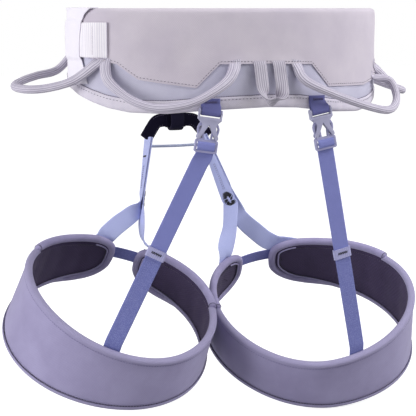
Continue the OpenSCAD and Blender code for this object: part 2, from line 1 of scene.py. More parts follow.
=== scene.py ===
"""Climbing harness: sewn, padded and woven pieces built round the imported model, in metres."""
import math
import bpy
import numpy as np
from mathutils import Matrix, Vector


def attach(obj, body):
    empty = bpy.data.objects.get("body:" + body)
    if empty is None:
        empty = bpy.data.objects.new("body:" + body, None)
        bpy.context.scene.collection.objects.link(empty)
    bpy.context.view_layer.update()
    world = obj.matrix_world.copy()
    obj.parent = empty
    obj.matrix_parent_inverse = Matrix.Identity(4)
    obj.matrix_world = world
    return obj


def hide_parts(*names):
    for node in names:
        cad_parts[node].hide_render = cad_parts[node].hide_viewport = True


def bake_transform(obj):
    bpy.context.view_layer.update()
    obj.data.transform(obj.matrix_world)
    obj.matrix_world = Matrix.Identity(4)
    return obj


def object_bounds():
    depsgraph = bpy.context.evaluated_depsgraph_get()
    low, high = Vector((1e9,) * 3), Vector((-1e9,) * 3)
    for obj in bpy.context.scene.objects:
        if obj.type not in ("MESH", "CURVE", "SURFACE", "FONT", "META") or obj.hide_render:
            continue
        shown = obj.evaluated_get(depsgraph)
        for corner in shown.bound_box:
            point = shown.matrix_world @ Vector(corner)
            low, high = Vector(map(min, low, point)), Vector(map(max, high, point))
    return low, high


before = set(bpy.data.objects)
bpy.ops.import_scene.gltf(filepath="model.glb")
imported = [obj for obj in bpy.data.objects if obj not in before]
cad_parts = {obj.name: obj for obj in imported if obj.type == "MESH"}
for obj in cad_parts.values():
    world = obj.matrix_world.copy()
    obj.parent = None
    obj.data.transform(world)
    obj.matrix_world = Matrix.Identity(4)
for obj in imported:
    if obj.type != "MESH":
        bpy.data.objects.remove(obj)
cad_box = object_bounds()

MM = 0.001
LEFT, RIGHT = 0, 1
SIDE_NAMES = ("left", "right")

# ---- Sizes of the belt, in millimetres and degrees from the centre back ----
BELT_A, BELT_B = 172.0, 110.0
BELT_TOP, BELT_DROP, BELT_END = 30.0, 64.0, 142.0
# Angle, width and height of each swelling over the sewn end of a loop
LOOP_BULGES = ((-118, 3.2, 1.9), (-62, 4.5, 2.1), (-12, 3.0, 1.6), (-5.2, 2.6, 1.0), (5.2, 2.6, 1.0),
               (10.5, 3.0, 1.6), (62, 4.5, 2.1), (118, 3.2, 1.9))
WEB_WIDTH, WEB_THICK, CHANNEL = 34.0, 1.7, -2.35
TOP_EDGE = ((0, 0), (104, 0), (122, -2), (134, -6), (138, -8), (142, -13))
BOTTOM_EDGE = ((-142, 45), (-138, 40), (-134, 37), (-122, 29), (-106, 22), (-92, 18), (-84, 15),
               (-78, 11), (-70, 6), (-60, 0), (-50, -4), (-36, -5), (-24, -2.5), (-12, -1), (0, 0),
               (12, -1.5), (28, -7.5), (44, -9.5), (52, -7.5), (60, -4), (72, 2), (90, 10),
               (106, 17), (122, 26), (134, 35), (138, 39), (142, 45))
SHELL_HEM = ((-142, -9), (-108, -15), (-70, -17), (-55, -23), (-46, -38), (-25, -46), (-17, -23),
             (0, -23), (17, -24.5), (25, -47.5), (48, -48.5), (57, -45), (61, -38), (65, -27), (108, -16),
             (142, -9))
PULL_IN, PULL_SPAN = 5.0, (-150, -66)
KEEPER_RIGHT = ((-52, -68.4), (-44, -70.1), (-39, -70.7), (-34, -71.3), (-29, -71.9), (-22, -73.2),
                (-14, -74.5), (0, -74.3), (19, -72.7), (25, -70.7), (31, -67))
BUCKLE_ANGLE = 205.0
TIE_Y, LOWER_Z = 136.0, -95.0
TAB_ANGLE, TAB_OFF, TAB_Z = (20.2, 18.6), (4.8, 7.2), (-69.4, -71.0)
TAB_TURN, BUCKLE_LEAN = (0, -16), (8.5, 11.0)
STRAP_WIDTH, STRAP_THICK = 17.5, 1.4
TAB_WIDTH, TAB_THICK, BAR_RADIUS = 19.0, 1.6, 1.6
HAUL_WIDTH, HAUL_THICK = 13.5, 1.8
UPPER_TIE_WIDTH, LOWER_TIE_WIDTH, TIE_THICK = 22.0, 15.5, 3.2
WEAR_BLOCK_WIDTH, WEAR_BLOCK_THICK = 17.4, 4.6
# Half the gap inside the belay loop, and its webbing
BELAY_INNER, BELAY_WIDTH, BELAY_THICK = 5.5, 16.0, 3.6

# ---- Sizes of the leg loops, in millimetres; pairs hold the left and the right one ----
# A station is the angle round the thigh in degrees: 0 at the outer side, 270 at the back
LEG_OUTER, LEG_INNER, LEG_B, LEG_H = 117.0, 96.0, 106.0, 57.0
LEG_REACH = ((-11, 0.7, 1), (11.7, -1, -1))
LEG_FLARE, LEG_SADDLE = 4.9, 4.6
LEG_PLACE = ((108, 12.5, -269.5), (90.5, -4.5, -289))
LEG_TILT, LEG_YAW, LEG_LEAN = (24.7, 25.7), (2, -5.5), (11.5, 7.5)
PAD_START, PAD_END, PAD_ROUND, PAD_RISE = (117.0, 112.0), (455.0, 443.5), 14.0, 36.0
ROLL_OUTER_FROM, ROLL_INNER_TO = (393.5, 379.0), (187.5, 177.5)
RISER_TOP = (35.5, 131, -120.4)
RISER_SPLIT = ((50.5, 119, -197), (60.5, 107, -202))
RISER_TURN, RISER_OFF = (16, 46), 4.9
RISER_WIDTH, RISER_THICK, RISER_SPREAD = 18.5, 1.5, 2.5
PATCH_WIDTH, PATCH_LENGTH = 8.8, 15.0
ELASTIC_WIDTH, ELASTIC_THICK = 15.0, 0.8
ROLL_RADIUS, ROLL_GAP = 4.3, 3.1
# Place and width direction along each riser between its stem and its leg loop
RISER_BRANCH = {
    (LEFT, "outer"): ((51.9, 117.7, -193.5, 0.17, -0.39, 0.9), (64.7, 116.3, -203, 0.31, 0.29, 0.9),
                      (78.4, 115.4, -211.5, 0.54, 0.36, 0.76), (90, 114, -220, 0.68, 0.4, 0.61)),
    (RIGHT, "outer"): ((65.2, 106.1, -204.5, 0.15, 0.1, 0.98), (73.5, 104.6, -216.5, 0.36, 0, 0.93),
                       (87, 101, -229, 0.64, -0.16, 0.75), (99, 97.5, -239, 0.71, -0.2, 0.68)),
    (LEFT, "inner"): ((50, 115.5, -200, 0.08, -0.97, 0.22), (52.2, 110.9, -212.3, 0.01, -0.99, 0.14),
                      (53.2, 105.5, -225.5, 0.13, -0.98, 0.11), (50.5, 100.5, -235, 0.45, -0.85, 0.2)),
    (RIGHT, "inner"): ((51.9, 97, -219.3, 0.55, -0.8, 0), (43.4, 86.9, -236.6, 0.8, -0.2, 0)),
}
# Stations and heights at which each inner riser lies on its leg loop
INNER_FOOT = (((121, 3), (121.5, -6), (122, -14)), ((125, 9), (125, -1), (125, -10), (125, -17)))
OUTER_STATION, INNER_STATION = (449.5, 443.5), (122.5, 125.0)
STRAP_STATION = (290.0, 282.0)
STRAP_SHIFT = (3, 0)
SLEEVE_AT = ((0.48, 0.53), (0.467, 0.517))

# ---- How the pads swell and the threads lie ----
PUFF_CLOTH = {"quality": 6, "mass": 0.15, "tension_stiffness": 20, "compression_stiffness": 20,
              "shear_stiffness": 10, "bending_stiffness": 1, "use_pressure": True}
PUFF_STEPS = 20
ZIGZAG_SLANT = 0.22

# ---- Camera, in metres and degrees ----
CAMERA_PLACE = (-0.5694, -1.2789, 0.030)
CAMERA_TURN, CAMERA_DOWN, CAMERA_SHIFT = -24, 8.6, -0.0360577

# ---- Routes of the gear loops: angle, distance outward and height ----
GEAR_ROUTES = {
    "front_left": ((-118, 4.6, -30), (-116, 17, -33), (-108, 34, -38), (-101, 49, -43),
                   (-95, 55, -47), (-88, 45, -49), (-82, 28, -47), (-73, 12, -39), (-64, 4.6, -27)),
    "rear_left": ((-60, 4.6, -27), (-57, 8, -38), (-50, 13, -51), (-43, 17, -60), (-36, 18.5, -64),
                  (-27, 19, -60), (-20, 15.5, -50), (-14.5, 9.5, -38), (-12, 4.6, -27)),
    "rear_right": ((10.5, 4.6, -27), (12, 9, -40), (22, 17, -55), (36, 25, -69), (48, 29, -74),
                   (58, 28, -64), (62, 19, -46), (60, 4.6, -27)),
    "front_right": ((64, 4.6, -27), (73, 12, -43), (82, 28, -55), (88, 46, -60), (95, 56, -60),
                    (101, 49, -55), (108, 32, -45), (116, 16, -36), (118, 4.6, -30)),
}


# ---- Measuring ----

def unit(v):
    v = np.asarray(v, float)
    return v / np.maximum(np.linalg.norm(v, axis=-1, keepdims=True), 1e-9)


def mix(a, b, k):
    a, b = np.asarray(a, float), np.asarray(b, float)
    return a + (b - a) * k


def read_edge(table, angle):
    return np.interp(angle, [p[0] for p in table], [p[1] for p in table])


def top_height(angle):
    return BELT_TOP + read_edge(TOP_EDGE, abs(angle))


def bottom_height(angle):
    return -BELT_DROP + read_edge(BOTTOM_EDGE, angle)


def hem_height(angle):
    return read_edge(SHELL_HEM, angle)


def pulled(angle):
    """How far the strap's tail pulls the belt's left side in."""
    k = ((angle - 360 if angle > 180 else angle) - PULL_SPAN[0]) / (PULL_SPAN[1] - PULL_SPAN[0])
    return PULL_IN * math.sin(math.pi * k) ** 2 if 0 < k < 1 else 0.0


def belt_place(angle, off, height):
    a = math.radians(angle)
    off = off - pulled(angle)
    return np.array([(BELT_A + off) * math.sin(a), -(BELT_B + off) * math.cos(a), height])


def belt_out(angle):
    a = math.radians(angle)
    return unit([BELT_B * math.sin(a), -BELT_A * math.cos(a), 0])


def belt_along(angle):
    return np.cross([0, 0, 1], belt_out(angle))


def turned(v, axis, angle):
    c, s = math.cos(math.radians(angle)), math.sin(math.radians(angle))
    x, y, z = v
    if axis == "x":
        return np.array([x, y * c - z * s, y * s + z * c])
    if axis == "y":
        return np.array([x * c + z * s, y, z * c - x * s])
    return np.array([x * c - y * s, x * s + y * c, z])


def mirrored(side, v):
    return np.asarray(v, float) * ((-1, 1, 1) if side == LEFT else (1, 1, 1))


def metres(v):
    return tuple(float(MM * c) for c in v)


def band_height(t):
    a = math.radians(t)
    return LEG_H - 3 * math.sin(a) + 14 * math.cos(a) + 5 * math.cos(2 * a)


def leg_place(side, t, off, z):
    """Point on a leg loop: station round the thigh, offset outward, height from the rim."""
    a = math.radians(t)
    w = -LEG_FLARE * z / band_height(t) + off
    outer, inner, deep = LEG_REACH[side]
    reach = LEG_OUTER + outer if math.cos(a) > 0 else LEG_INNER + inner
    v = ((reach + w) * math.cos(a), (LEG_B + deep + w) * math.sin(a), LEG_SADDLE * math.cos(2 * a) + z)
    v = turned(turned(turned(v, "x", LEG_TILT[side]), "y", -LEG_LEAN[side]), "z", LEG_YAW[side])
    return mirrored(side, v + np.array(LEG_PLACE[side]))


def leg_out(side, t, z=0.0):
    return unit(leg_place(side, t, 1, z) - leg_place(side, t, 0, z))


def end_gap(side, t):
    return max(0.0, min(t - PAD_START[side], PAD_END[side] - t))


def end_round(e):
    return 0.0 if e >= PAD_ROUND else 1 - math.sqrt(1 - (1 - e / PAD_ROUND) ** 2)


def rim(side, t):
    return -0.22 * band_height(t) * end_round(end_gap(side, t))


def hem(side, t):
    e = end_gap(side, t)
    k = max(0.0, 1 - e / PAD_RISE)
    return band_height(t) * (0.42 * end_round(e) + 0.12 * k * k - 1)


def edge(side, t, up):
    return rim(side, t) if up > 0 else hem(side, t)


def beside_edge(side, t, gap, up):
    """Station and height a gap away from the band's rim (up = 1) or hem (up = -1)."""
    degree = LEG_B * math.pi / 180
    out = up * unit([(edge(side, t - 0.4, up) - edge(side, t + 0.4, up)) / (0.8 * degree), 1])
    return t + gap * out[0] / degree, edge(side, t, up) + gap * out[1]


def buckle_place(side, v):
    along = belt_along(TAB_ANGLE[side])
    yaw = math.degrees(math.atan2(along[1], along[0])) + TAB_TURN[side]
    turned_v = turned(turned(v, "y", -BUCKLE_LEAN[side]), "z", yaw)
    return mirrored(side, turned_v + belt_place(TAB_ANGLE[side], TAB_OFF[side], TAB_Z[side]))


def smooth(points, per):
    """A smooth curve through rows of numbers, with per steps from row to row."""
    p = np.asarray(points, float)
    n = len(p) - 1
    out = []
    for i in range(n):
        a, b, c, d = p[max(i - 1, 0)], p[i], p[i + 1], p[min(i + 2, n)]
        for s in np.arange(per) / per:
            out.append(0.5 * (2 * b + (c - a) * s + (2 * a - 5 * b + 4 * c - d) * s * s
                              + (3 * b - a - 3 * c + d) * s ** 3))
    return np.array(out + [p[n]])


def evened(rows, step):
    """The same polyline with its rows about step apart."""
    rows = np.asarray(rows, float)
    run = np.concatenate([[0], np.cumsum(np.linalg.norm(np.diff(rows[:, :3], axis=0), axis=1))])
    want = np.linspace(0, run[-1], max(2, int(run[-1] / step) + 1))
    return np.stack([np.interp(want, run, rows[:, k]) for k in range(rows.shape[1])], 1)


def tangents(path):
    path = np.asarray(path, float)
    d = np.empty_like(path)
    d[1:-1] = path[2:] - path[:-2]
    d[0], d[-1] = path[1] - path[0], path[-1] - path[-2]
    return unit(d)


# ---- Making pieces ----

def deselect_all():
    if bpy.context.object and bpy.context.object.mode != "OBJECT":
        bpy.ops.object.mode_set(mode="OBJECT")
    bpy.ops.object.select_all(action="DESELECT")


def pick(piece):
    deselect_all()
    bpy.context.view_layer.objects.active = piece
    piece.select_set(True)


def added(name, data):
    """A new object in the scene that holds this data."""
    holder = bpy.data.objects.new(name, data)
    bpy.context.scene.collection.objects.link(holder)
    return holder


def vertex_places(mesh):
    flat = np.empty(len(mesh.vertices) * 3)
    mesh.vertices.foreach_get("co", flat)
    return flat.reshape(-1, 3)


def lay_surface(name, rows, wrap=False):
    """A grid laid over rows of places in millimetres, its texture map measured in metres.
    With wrap its last column meets its first, and both ends are closed."""
    rows = np.asarray(rows, float) * MM
    n, m = rows.shape[:2]
    deselect_all()
    bpy.ops.mesh.primitive_grid_add(x_subdivisions=n - 1, y_subdivisions=m - 1, size=1)
    piece = bpy.context.object
    piece.name = name
    mesh = piece.data
    grid = vertex_places(mesh)
    i = np.rint((grid[:, 0] + 0.5) * (n - 1)).astype(int)
    j = np.rint((grid[:, 1] + 0.5) * (m - 1)).astype(int)
    mesh.vertices.foreach_set("co", rows[i, j].ravel())
    run = np.concatenate([[0], np.cumsum(np.linalg.norm(np.diff(rows, axis=0), axis=2).mean(1))])
    turn = np.concatenate([[0], np.cumsum(np.linalg.norm(np.diff(rows, axis=1), axis=2).mean(0))])
    corner = np.empty(len(mesh.loops), int)
    mesh.loops.foreach_get("vertex_index", corner)
    flat_map = np.stack([run[i[corner]], turn[j[corner]]], 1)
    mesh.uv_layers[0].data.foreach_set("uv", flat_map.ravel())
    mesh.update()
    bpy.ops.object.mode_set(mode="EDIT")
    bpy.ops.mesh.select_all(action="SELECT")
    bpy.ops.mesh.remove_doubles(threshold=1e-6)
    if wrap:
        bpy.ops.mesh.select_all(action="DESELECT")
        bpy.ops.mesh.select_non_manifold(extend=False, use_wire=False, use_multi_face=False,
                                         use_non_contiguous=False, use_verts=False)
        bpy.ops.mesh.fill_holes(sides=0)
    bpy.ops.mesh.select_all(action="SELECT")
    bpy.ops.mesh.normals_make_consistent(inside=False)
    bpy.ops.object.mode_set(mode="OBJECT")
    return piece


def rounded(piece, angle=40):
    pick(piece)
    bpy.ops.object.shade_smooth_by_angle(angle=math.radians(angle))
    return piece


def thickened(piece, thick):
    pick(piece)
    wall = piece.modifiers.new("wall", "SOLIDIFY")
    wall.thickness = thick * MM
    wall.offset = 0
    bpy.ops.object.modifier_apply(modifier="wall")
    return rounded(piece, 60)


def strap_section(width, thick, lip=0.0):
    """Outline of webbing cut across: flat faces, rounded selvedges."""
    half, selvedge = width / 2, min(thick * 0.55, 0.9)
    top = [(half - selvedge, thick / 2), *[(half * k, thick / 2 + lip * (1 - k * k))
           for k in (0.75, 0.5, 0.25, 0, -0.25, -0.5, -0.75)], (selvedge - half, thick / 2)]
    side = [(-half + selvedge * 0.35, thick * 0.4), (-half, thick * 0.14), (-half, -thick * 0.14),
            (-half + selvedge * 0.35, -thick * 0.4)]
    lower = [(-a, -b) for a, b in top + side]
    ring = top + side + lower
    return np.array(ring + ring[:1])


def strap_frame(path, wide):
    """Direction, face normal and width direction at each row of a strap's path."""
    d = tangents(path)
    n = unit(np.cross(d, wide))
    return d, n, np.cross(n, d)


def facing(rows):
    """The same rows, each width direction turned to the side of the one before it."""
    for a, b in zip(rows, rows[1:]):
        if np.dot(a[3:6], b[3:6]) < 0:
            b[3:7] = [-v for v in b[3:7]]
    return rows


def strap(name, rows, width, thick, step=2.5, lip=0.0, wider=0.0):
    """Webbing along rows of [x, y, z, width direction, lift along the face], wider past its middle."""
    rows = evened(rows, step)
    _, n, s = strap_frame(rows[:, :3], rows[:, 3:6])
    centre = rows[:, :3] + n * rows[:, 6:7]
    ring = strap_section(width, thick, lip)
    grow = 1 + wider / width * np.clip((np.linspace(0, 1, len(rows)) - 0.5) / 0.2, 0, 1)
    return rounded(lay_surface(name, [[c + a * g * si + b * ni for a, b in ring]
                                      for c, si, ni, g in zip(centre, s, n, grow)], wrap=True))


def carried(d, first):
    """Normals carried along a path's directions without twist, from the first one."""
    n = np.empty_like(d)
    n[0] = first
    for i in range(1, len(d)):
        n[i] = unit(n[i - 1] - d[i] * np.dot(n[i - 1], d[i]))
    return n


def tube(name, path, radius, sides=20, step=2.0):
    """Round cord or roll; its radius may be a function of the share of the path."""
    path = evened(path, step)
    d = tangents(path)
    n = carried(d, unit(np.cross(d[0], unit([0.3, 0.5, 0.8]))))
    b = np.cross(d, n)
    k = np.linspace(0, 1, len(path))
    r = radius(k) if callable(radius) else np.full(len(path), float(radius))
    turn = np.linspace(0, 2 * math.pi, sides + 1)
    rows = [[p + ri * (ni * math.cos(q) + bi * math.sin(q)) for q in turn]
            for p, ri, ni, bi in zip(path, r, n, b)]
    return rounded(lay_surface(name, rows, wrap=True), 60)


def one_stitch():
    """Places and faces of one sewn stitch, shaped once and copied along every seam.
    The faces are sorted, because the primitive's own order changes from run to run."""
    deselect_all()
    bpy.ops.mesh.primitive_uv_sphere_add(segments=6, ring_count=4, radius=0.5)
    stitch = bpy.context.object
    places = vertex_places(stitch.data)
    faces = []
    for face in stitch.data.polygons:
        corners = list(face.vertices)
        first = corners.index(min(corners))
        faces.append(corners[first:] + corners[:first])
    bpy.data.objects.remove(stitch)
    return places, sorted(faces)


STITCH = one_stitch()


def sewn(name, stitches, thick=0.55):
    """Stitches as one piece; each is (centre, direction, outward, length) in millimetres."""
    shape, faces = STITCH
    places, joined = [], []
    for centre, along, out, length in stitches:
        along, out = unit(along), unit(out)
        side = unit(np.cross(along, out))
        out = np.cross(side, along)
        places.append(np.asarray(centre) + shape[:, 2:3] * length * along
                      + shape[:, 0:1] * thick * side + shape[:, 1:2] * thick * 0.8 * out)
        joined += [[v + len(shape) * (len(places) - 1) for v in f] for f in faces]
    mesh = bpy.data.meshes.new(name)
    mesh.from_pydata((np.concatenate(places) * MM).tolist(), [], joined)
    return rounded(added(name, mesh), 80)


def seam(path, outs, pitch, length):
    """Even stitches along a path whose rows face outs."""
    rows = evened(np.concatenate([path, outs], 1), pitch)
    d = tangents(rows[:, :3])
    return [(r[:3], t, r[3:6], length) for r, t in zip(rows[1:-1], d[1:-1])]


def bar_tack(centre, along, out, length, width, turns=9):
    """Close zigzag of thread that locks two layers of webbing."""
    along = unit(along)
    across = unit(np.cross(out, along))
    return [(np.asarray(centre) + along * length * (k / (turns - 1) - 0.5),
             across + along * ZIGZAG_SLANT * (-1) ** k, out, width) for k in range(turns)]


def pad_section(low, high, lip, faces, edges, count):
    """Section of a padded band: an outer and an inner face of count points, and two narrow edges."""
    (outer, inner), (near, far) = faces, edges
    ring = [(outer, z) for z in np.linspace(low + lip, high - lip, count)]
    ring += [(near, high), (far, high)]
    ring += [(inner, z) for z in np.linspace(high - lip, low + lip, count)]
    return ring + [(far, low), (near, low), ring[0]]


def sewn_edges(piece, rows, ends, count):
    """Vertices on a padded band's long edges and on its first and last rows, which stay put."""
    columns = (0, count - 1, count, count + 1, count + 2, 2 * count + 1, 2 * count + 2, 2 * count + 3,
               2 * count + 4)
    fixed = {tuple(np.round(p * MM, 5)) for i, row in enumerate(rows) for j, p in enumerate(row)
             if i < ends or i >= len(rows) - ends or j in columns}
    return [v.index for v in piece.data.vertices if tuple(np.round(v.co, 5)) in fixed]


def puffed(piece, pinned, pressure, cap):
    """Swells a padded piece between its pinned seams by cloth simulation and keeps the shape.
    No point moves farther than cap."""
    pick(piece)
    group = piece.vertex_groups.new(name="seams")
    group.add(pinned, 1.0, "REPLACE")
    before = vertex_places(piece.data)
    cloth = piece.modifiers.new("puff", "CLOTH")
    for setting, value in PUFF_CLOTH.items():
        setattr(cloth.settings, setting, value)
    cloth.settings.uniform_pressure_force = pressure
    cloth.settings.vertex_group_mass = "seams"
    cloth.settings.effector_weights.gravity = 0
    cloth.collision_settings.use_collision = False
    cloth.point_cache.frame_start = 1
    cloth.point_cache.frame_end = PUFF_STEPS
    for step in range(1, PUFF_STEPS + 1):
        bpy.context.scene.frame_set(step)
    bpy.ops.object.modifier_apply(modifier="puff")
    bpy.context.scene.frame_set(1)
    moved = vertex_places(piece.data) - before
    far = np.linalg.norm(moved, axis=1, keepdims=True)
    moved *= np.minimum(1, cap * MM / np.maximum(far, 1e-9))
    piece.data.vertices.foreach_set("co", (before + moved).ravel())
    piece.vertex_groups.clear()
    piece.data.update()
    finer = piece.modifiers.new("finer", "SUBSURF")
    finer.levels = finer.render_levels = 1
    bpy.ops.object.modifier_apply(modifier="finer")
    return rounded(piece, 60)


# ---- Belt ----

def loop_bulge(angle, height):
    """How far the shell stands off over the sewn ends of the gear and haul loops."""
    lift = sum(high * math.exp(-((angle - at) / wide) ** 2) for at, wide, high in LOOP_BULGES)
    fade = max(0.0, 1 - (height - hem_height(angle)) / 13)
    return lift * fade * fade


def wave(angle, height):
    """Slow waves in the belt's face cloth."""
    return 0.3 * math.sin(angle * 0.16 + height * 0.06) + 0.22 * math.sin(angle * 0.39 - height * 0.1 + 1.3)


def belt_pad():
    """Foam and lining as one padded band, swelled between its sewn edges."""
    count = 17
    rows = [[belt_place(a, off, z) for off, z in
             pad_section(bottom_height(a) + 0.6, top_height(a) - 0.6, 2, (-3.6, -8.7), (-4.8, -7.5), count)]
            for a in np.linspace(-BELT_END, BELT_END, 150)]
    piece = lay_surface("belt_pad", rows, wrap=True)
    piece = puffed(piece, sewn_edges(piece, rows, 2, count), 3.5, 0.9)
    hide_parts("waist_foam", "waist_lining")
    return piece


def belt_shell():
    """Outer fabric from its scalloped hem up over the top edge and down inside."""
    rows = []
    for a in np.linspace(-BELT_END, BELT_END, 285):
        low, high = hem_height(a), top_height(a)
        ring = [(0.1 + loop_bulge(a, z) - 0.5 * k ** 6 + wave(a, z) * min(1, 5 * k, 5 - 5 * k), z)
                for k, z in ((k, low + (high - 3.4 - low) * k) for k in np.linspace(0, 1, 26))]
        ring += [(-0.9, high - 1.7), (-2.4, high - 0.3), (-4.6, high + 0.3), (-7, high - 0.1),
                 (-8.9, high - 1.4), (-9.8, high - 3.5), (-9.9, high - 6), (-9.7, high - 9)]
        rows.append([belt_place(a, off, z) for off, z in ring])
    piece = thickened(lay_surface("belt_shell", rows), 0.9)
    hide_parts("waist_shell")
    return piece


def belt_lower_panel():
    """Lower outer fabric, from under the shell down to the trim."""
    rows = []
    for a in np.linspace(-BELT_END, BELT_END, 240):
        low, high = bottom_height(a) + 2, hem_height(a) + 6
        rows.append([belt_place(a, -1.2 + (0.9 + wave(a, z)) * math.sin(math.pi * min(1, k * 1.15)), z)
                     for k, z in ((k, low + (high - low) * k) for k in np.linspace(0, 1, 12))])
    piece = thickened(lay_surface("belt_lower_panel", rows), 0.7)
    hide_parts("waist_lower_panel")
    return piece


def belt_trim():
    """Padded fold round the bottom edge of all the layers."""
    fold = ((0.1, 10.6), (0.75, 9.9), (0.95, 8.6), (0.85, 7.6), (1.2, 5.5), (1.25, 2.5), (0.9, 0.4),
            (0.1, -1.2), (-1.6, -2), (-4.2, -2.2), (-7, -2.1), (-9.2, -1.5), (-10.4, 0), (-10.8, 2),
            (-10.8, 4.6), (-10.4, 6), (-9.6, 6.3), (-9.5, 4), (-9.4, 1), (-8, -0.5), (-4.5, -0.7),
            (-1.6, -0.4), (-0.6, 1), (-0.4, 5), (-0.4, 10))
    rows = []
    for a in np.linspace(-BELT_END, BELT_END, 260):
        z = bottom_height(a)
        rows.append([belt_place(a, off, z + up) for off, up in fold + fold[:1]])
    piece = rounded(lay_surface("belt_trim", rows, wrap=True), 50)
    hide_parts("waist_bottom_trim")
    return piece


def belt_stitches():
    """Stitch rows along the shell's hem and the trim and inside the belt's top roll, and along the top of the
    trim's fold an unbroken dark thread that is painted seam shadow.
    """
    angles = np.linspace(-BELT_END + 1, BELT_END - 1, 400)
    out = np.array([belt_out(a) for a in angles])
    hem_row = np.array([belt_place(a, 0.72 + loop_bulge(a, hem_height(a) + 2.4), hem_height(a) + 2.4)
                        for a in angles])
    trim_row = np.array([belt_place(a, 1.25, bottom_height(a) + 7.7) for a in angles])
    # Painted seam shadow: a dark line along the top of the trim's fold, not a stitch row.
    fold_shadow_row = np.array([belt_place(a, 0.35, bottom_height(a) + 10.9) for a in angles])
    inner_row = np.array([belt_place(a, -10.5, top_height(a) - 7) for a in angles])
    hem_stitches = sewn("belt_hem_stitches", seam(hem_row, out, 3.4, 2.1), 0.5)
    # The fold row's stitches overlap into one unbroken dark line of painted seam shadow.
    trim_seams_and_fold_shadow = seam(trim_row, out, 3.7, 2.1) + seam(fold_shadow_row, out, 2.4, 2.6)
    trim_stitches_and_seam_shadow = sewn("belt_trim_stitches_and_seam_shadow", trim_seams_and_fold_shadow, 0.62)
    lining_stitches = sewn("belt_lining_stitches", seam(inner_row, -out, 3.4, 2.4), 0.5)
    return hem_stitches, trim_stitches_and_seam_shadow, lining_stitches


def upright(places):
    """Rows of a strap that stands on edge along these places."""
    return [[*p, 0, 0, 1, 0] for p in places]


def round_buckle(turn):
    """Smooth places at the waist buckle, from distances along the belt before it and outward."""
    base, along, out = belt_place(BUCKLE_ANGLE, CHANNEL, 0), belt_along(BUCKLE_ANGLE), belt_out(BUCKLE_ANGLE)
    return list(smooth([base - along * s + out * n for s, n in turn], 4))


def belt_webbing():
    """Waist webbing round the belt, across the front and back round the buckle's bar."""
    places = [belt_place(a, CHANNEL, 0) for a in range(-108, 193, 4)]
    places += round_buckle(((22.7, -1.2), (18, -0.5), (13, 0), (11.3, 0.6), (10.6, 2.7), (11.3, 4.8),
                            (13, 5.4), (17, 5.35), (19.2, 3.9), (21.4, 2), (24.4, 0.75)))
    places += [belt_place(a, CHANNEL + WEB_THICK + 0.12, 0) for a in (195.4, 194.2, 193)]
    piece = strap("waist_strap", upright(places), WEB_WIDTH, WEB_THICK, 2.5)
    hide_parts("waist_webbing")
    return piece


def tail_strap():
    """Strap from inside the left pad, through the buckle and back over the pad, its end folded."""
    places = [belt_place(a, CHANNEL, 0) for a in range(-114, -147, -4)]
    places += round_buckle(((-14, -0.3), (-11.2, 0.2), (-8.5, 1.6), (-6, 3), (-3.4, 4.2), (-2.6, 6.4),
                            (-3.6, 8.8), (-6, 9.65), (-9, 9), (-13, 7.6), (-17.5, 6.2), (-24, 3.8)))
    places += [belt_place(a, 1.75 + 0.25 * math.exp(-((a + 70) / 6) ** 2), 0) for a in range(-142, -60, 2)]
    piece = strap("tail_strap", upright(places), WEB_WIDTH, WEB_THICK, 2.5, lip=0.1)
    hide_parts("adjusting_strap")
    fold = [belt_place(a, off, 0) for a, off in
            ((-70.5, 3.35), (-69, 3.85), (-66, 3.95), (-63.4, 3.9), (-62.2, 3.3), (-58.9, 1.9))]
    end = strap("tail_strap_fold", upright(smooth(fold, 4)), WEB_WIDTH + 0.3, 2.2, 1.0)
    marks = bar_tack(belt_place(-65.2, 5.15, 0), (0, 0, 1), belt_out(-65.2), 27, 2.0, 23)
    return piece, end, sewn("tail_strap_stitches", marks, 0.5)


def strap_keeper():
    """Elastic band over the belt's top, sewn in under the trim, which holds the strap's tail."""
    rows = []
    for k in np.linspace(0, 1, 30):
        high, low = BELT_TOP + 1.1, bottom_height(-76) + 11.2
        ring = []
        for z in np.linspace(low, high - 2, 60):
            over = min(1.0, max(0.0, (20.5 - abs(z)) / 3.5))
            off = 1.75 + 1.6 * over * over * (3 - 2 * over) - 0.25 * (2 * k - 1) ** 2
            off += 1.6 * k ** 3 * min(1.0, max(0.0, (z - 18) / 8)) - 1.0 * max(0.0, 1 - (z - low) / 6)
            ring.append((off, z))
        ring += [(2.6, high - 0.3), (-1, high), (-7.5, high), (-10, high - 0.7)]
        ring += [(-10.7, z) for z in np.linspace(high - 2, low, 16)]
        rows.append([belt_place(mix(-90.6, read_edge(KEEPER_RIGHT, z) if off > -9 else -73.4, k), off, z)
                     for off, z in ring])
    piece = lay_surface("strap_keeper_band", np.swapaxes(np.array(rows), 0, 1))
    piece = thickened(piece, 0.9)
    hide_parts("strap_keeper")
    return piece


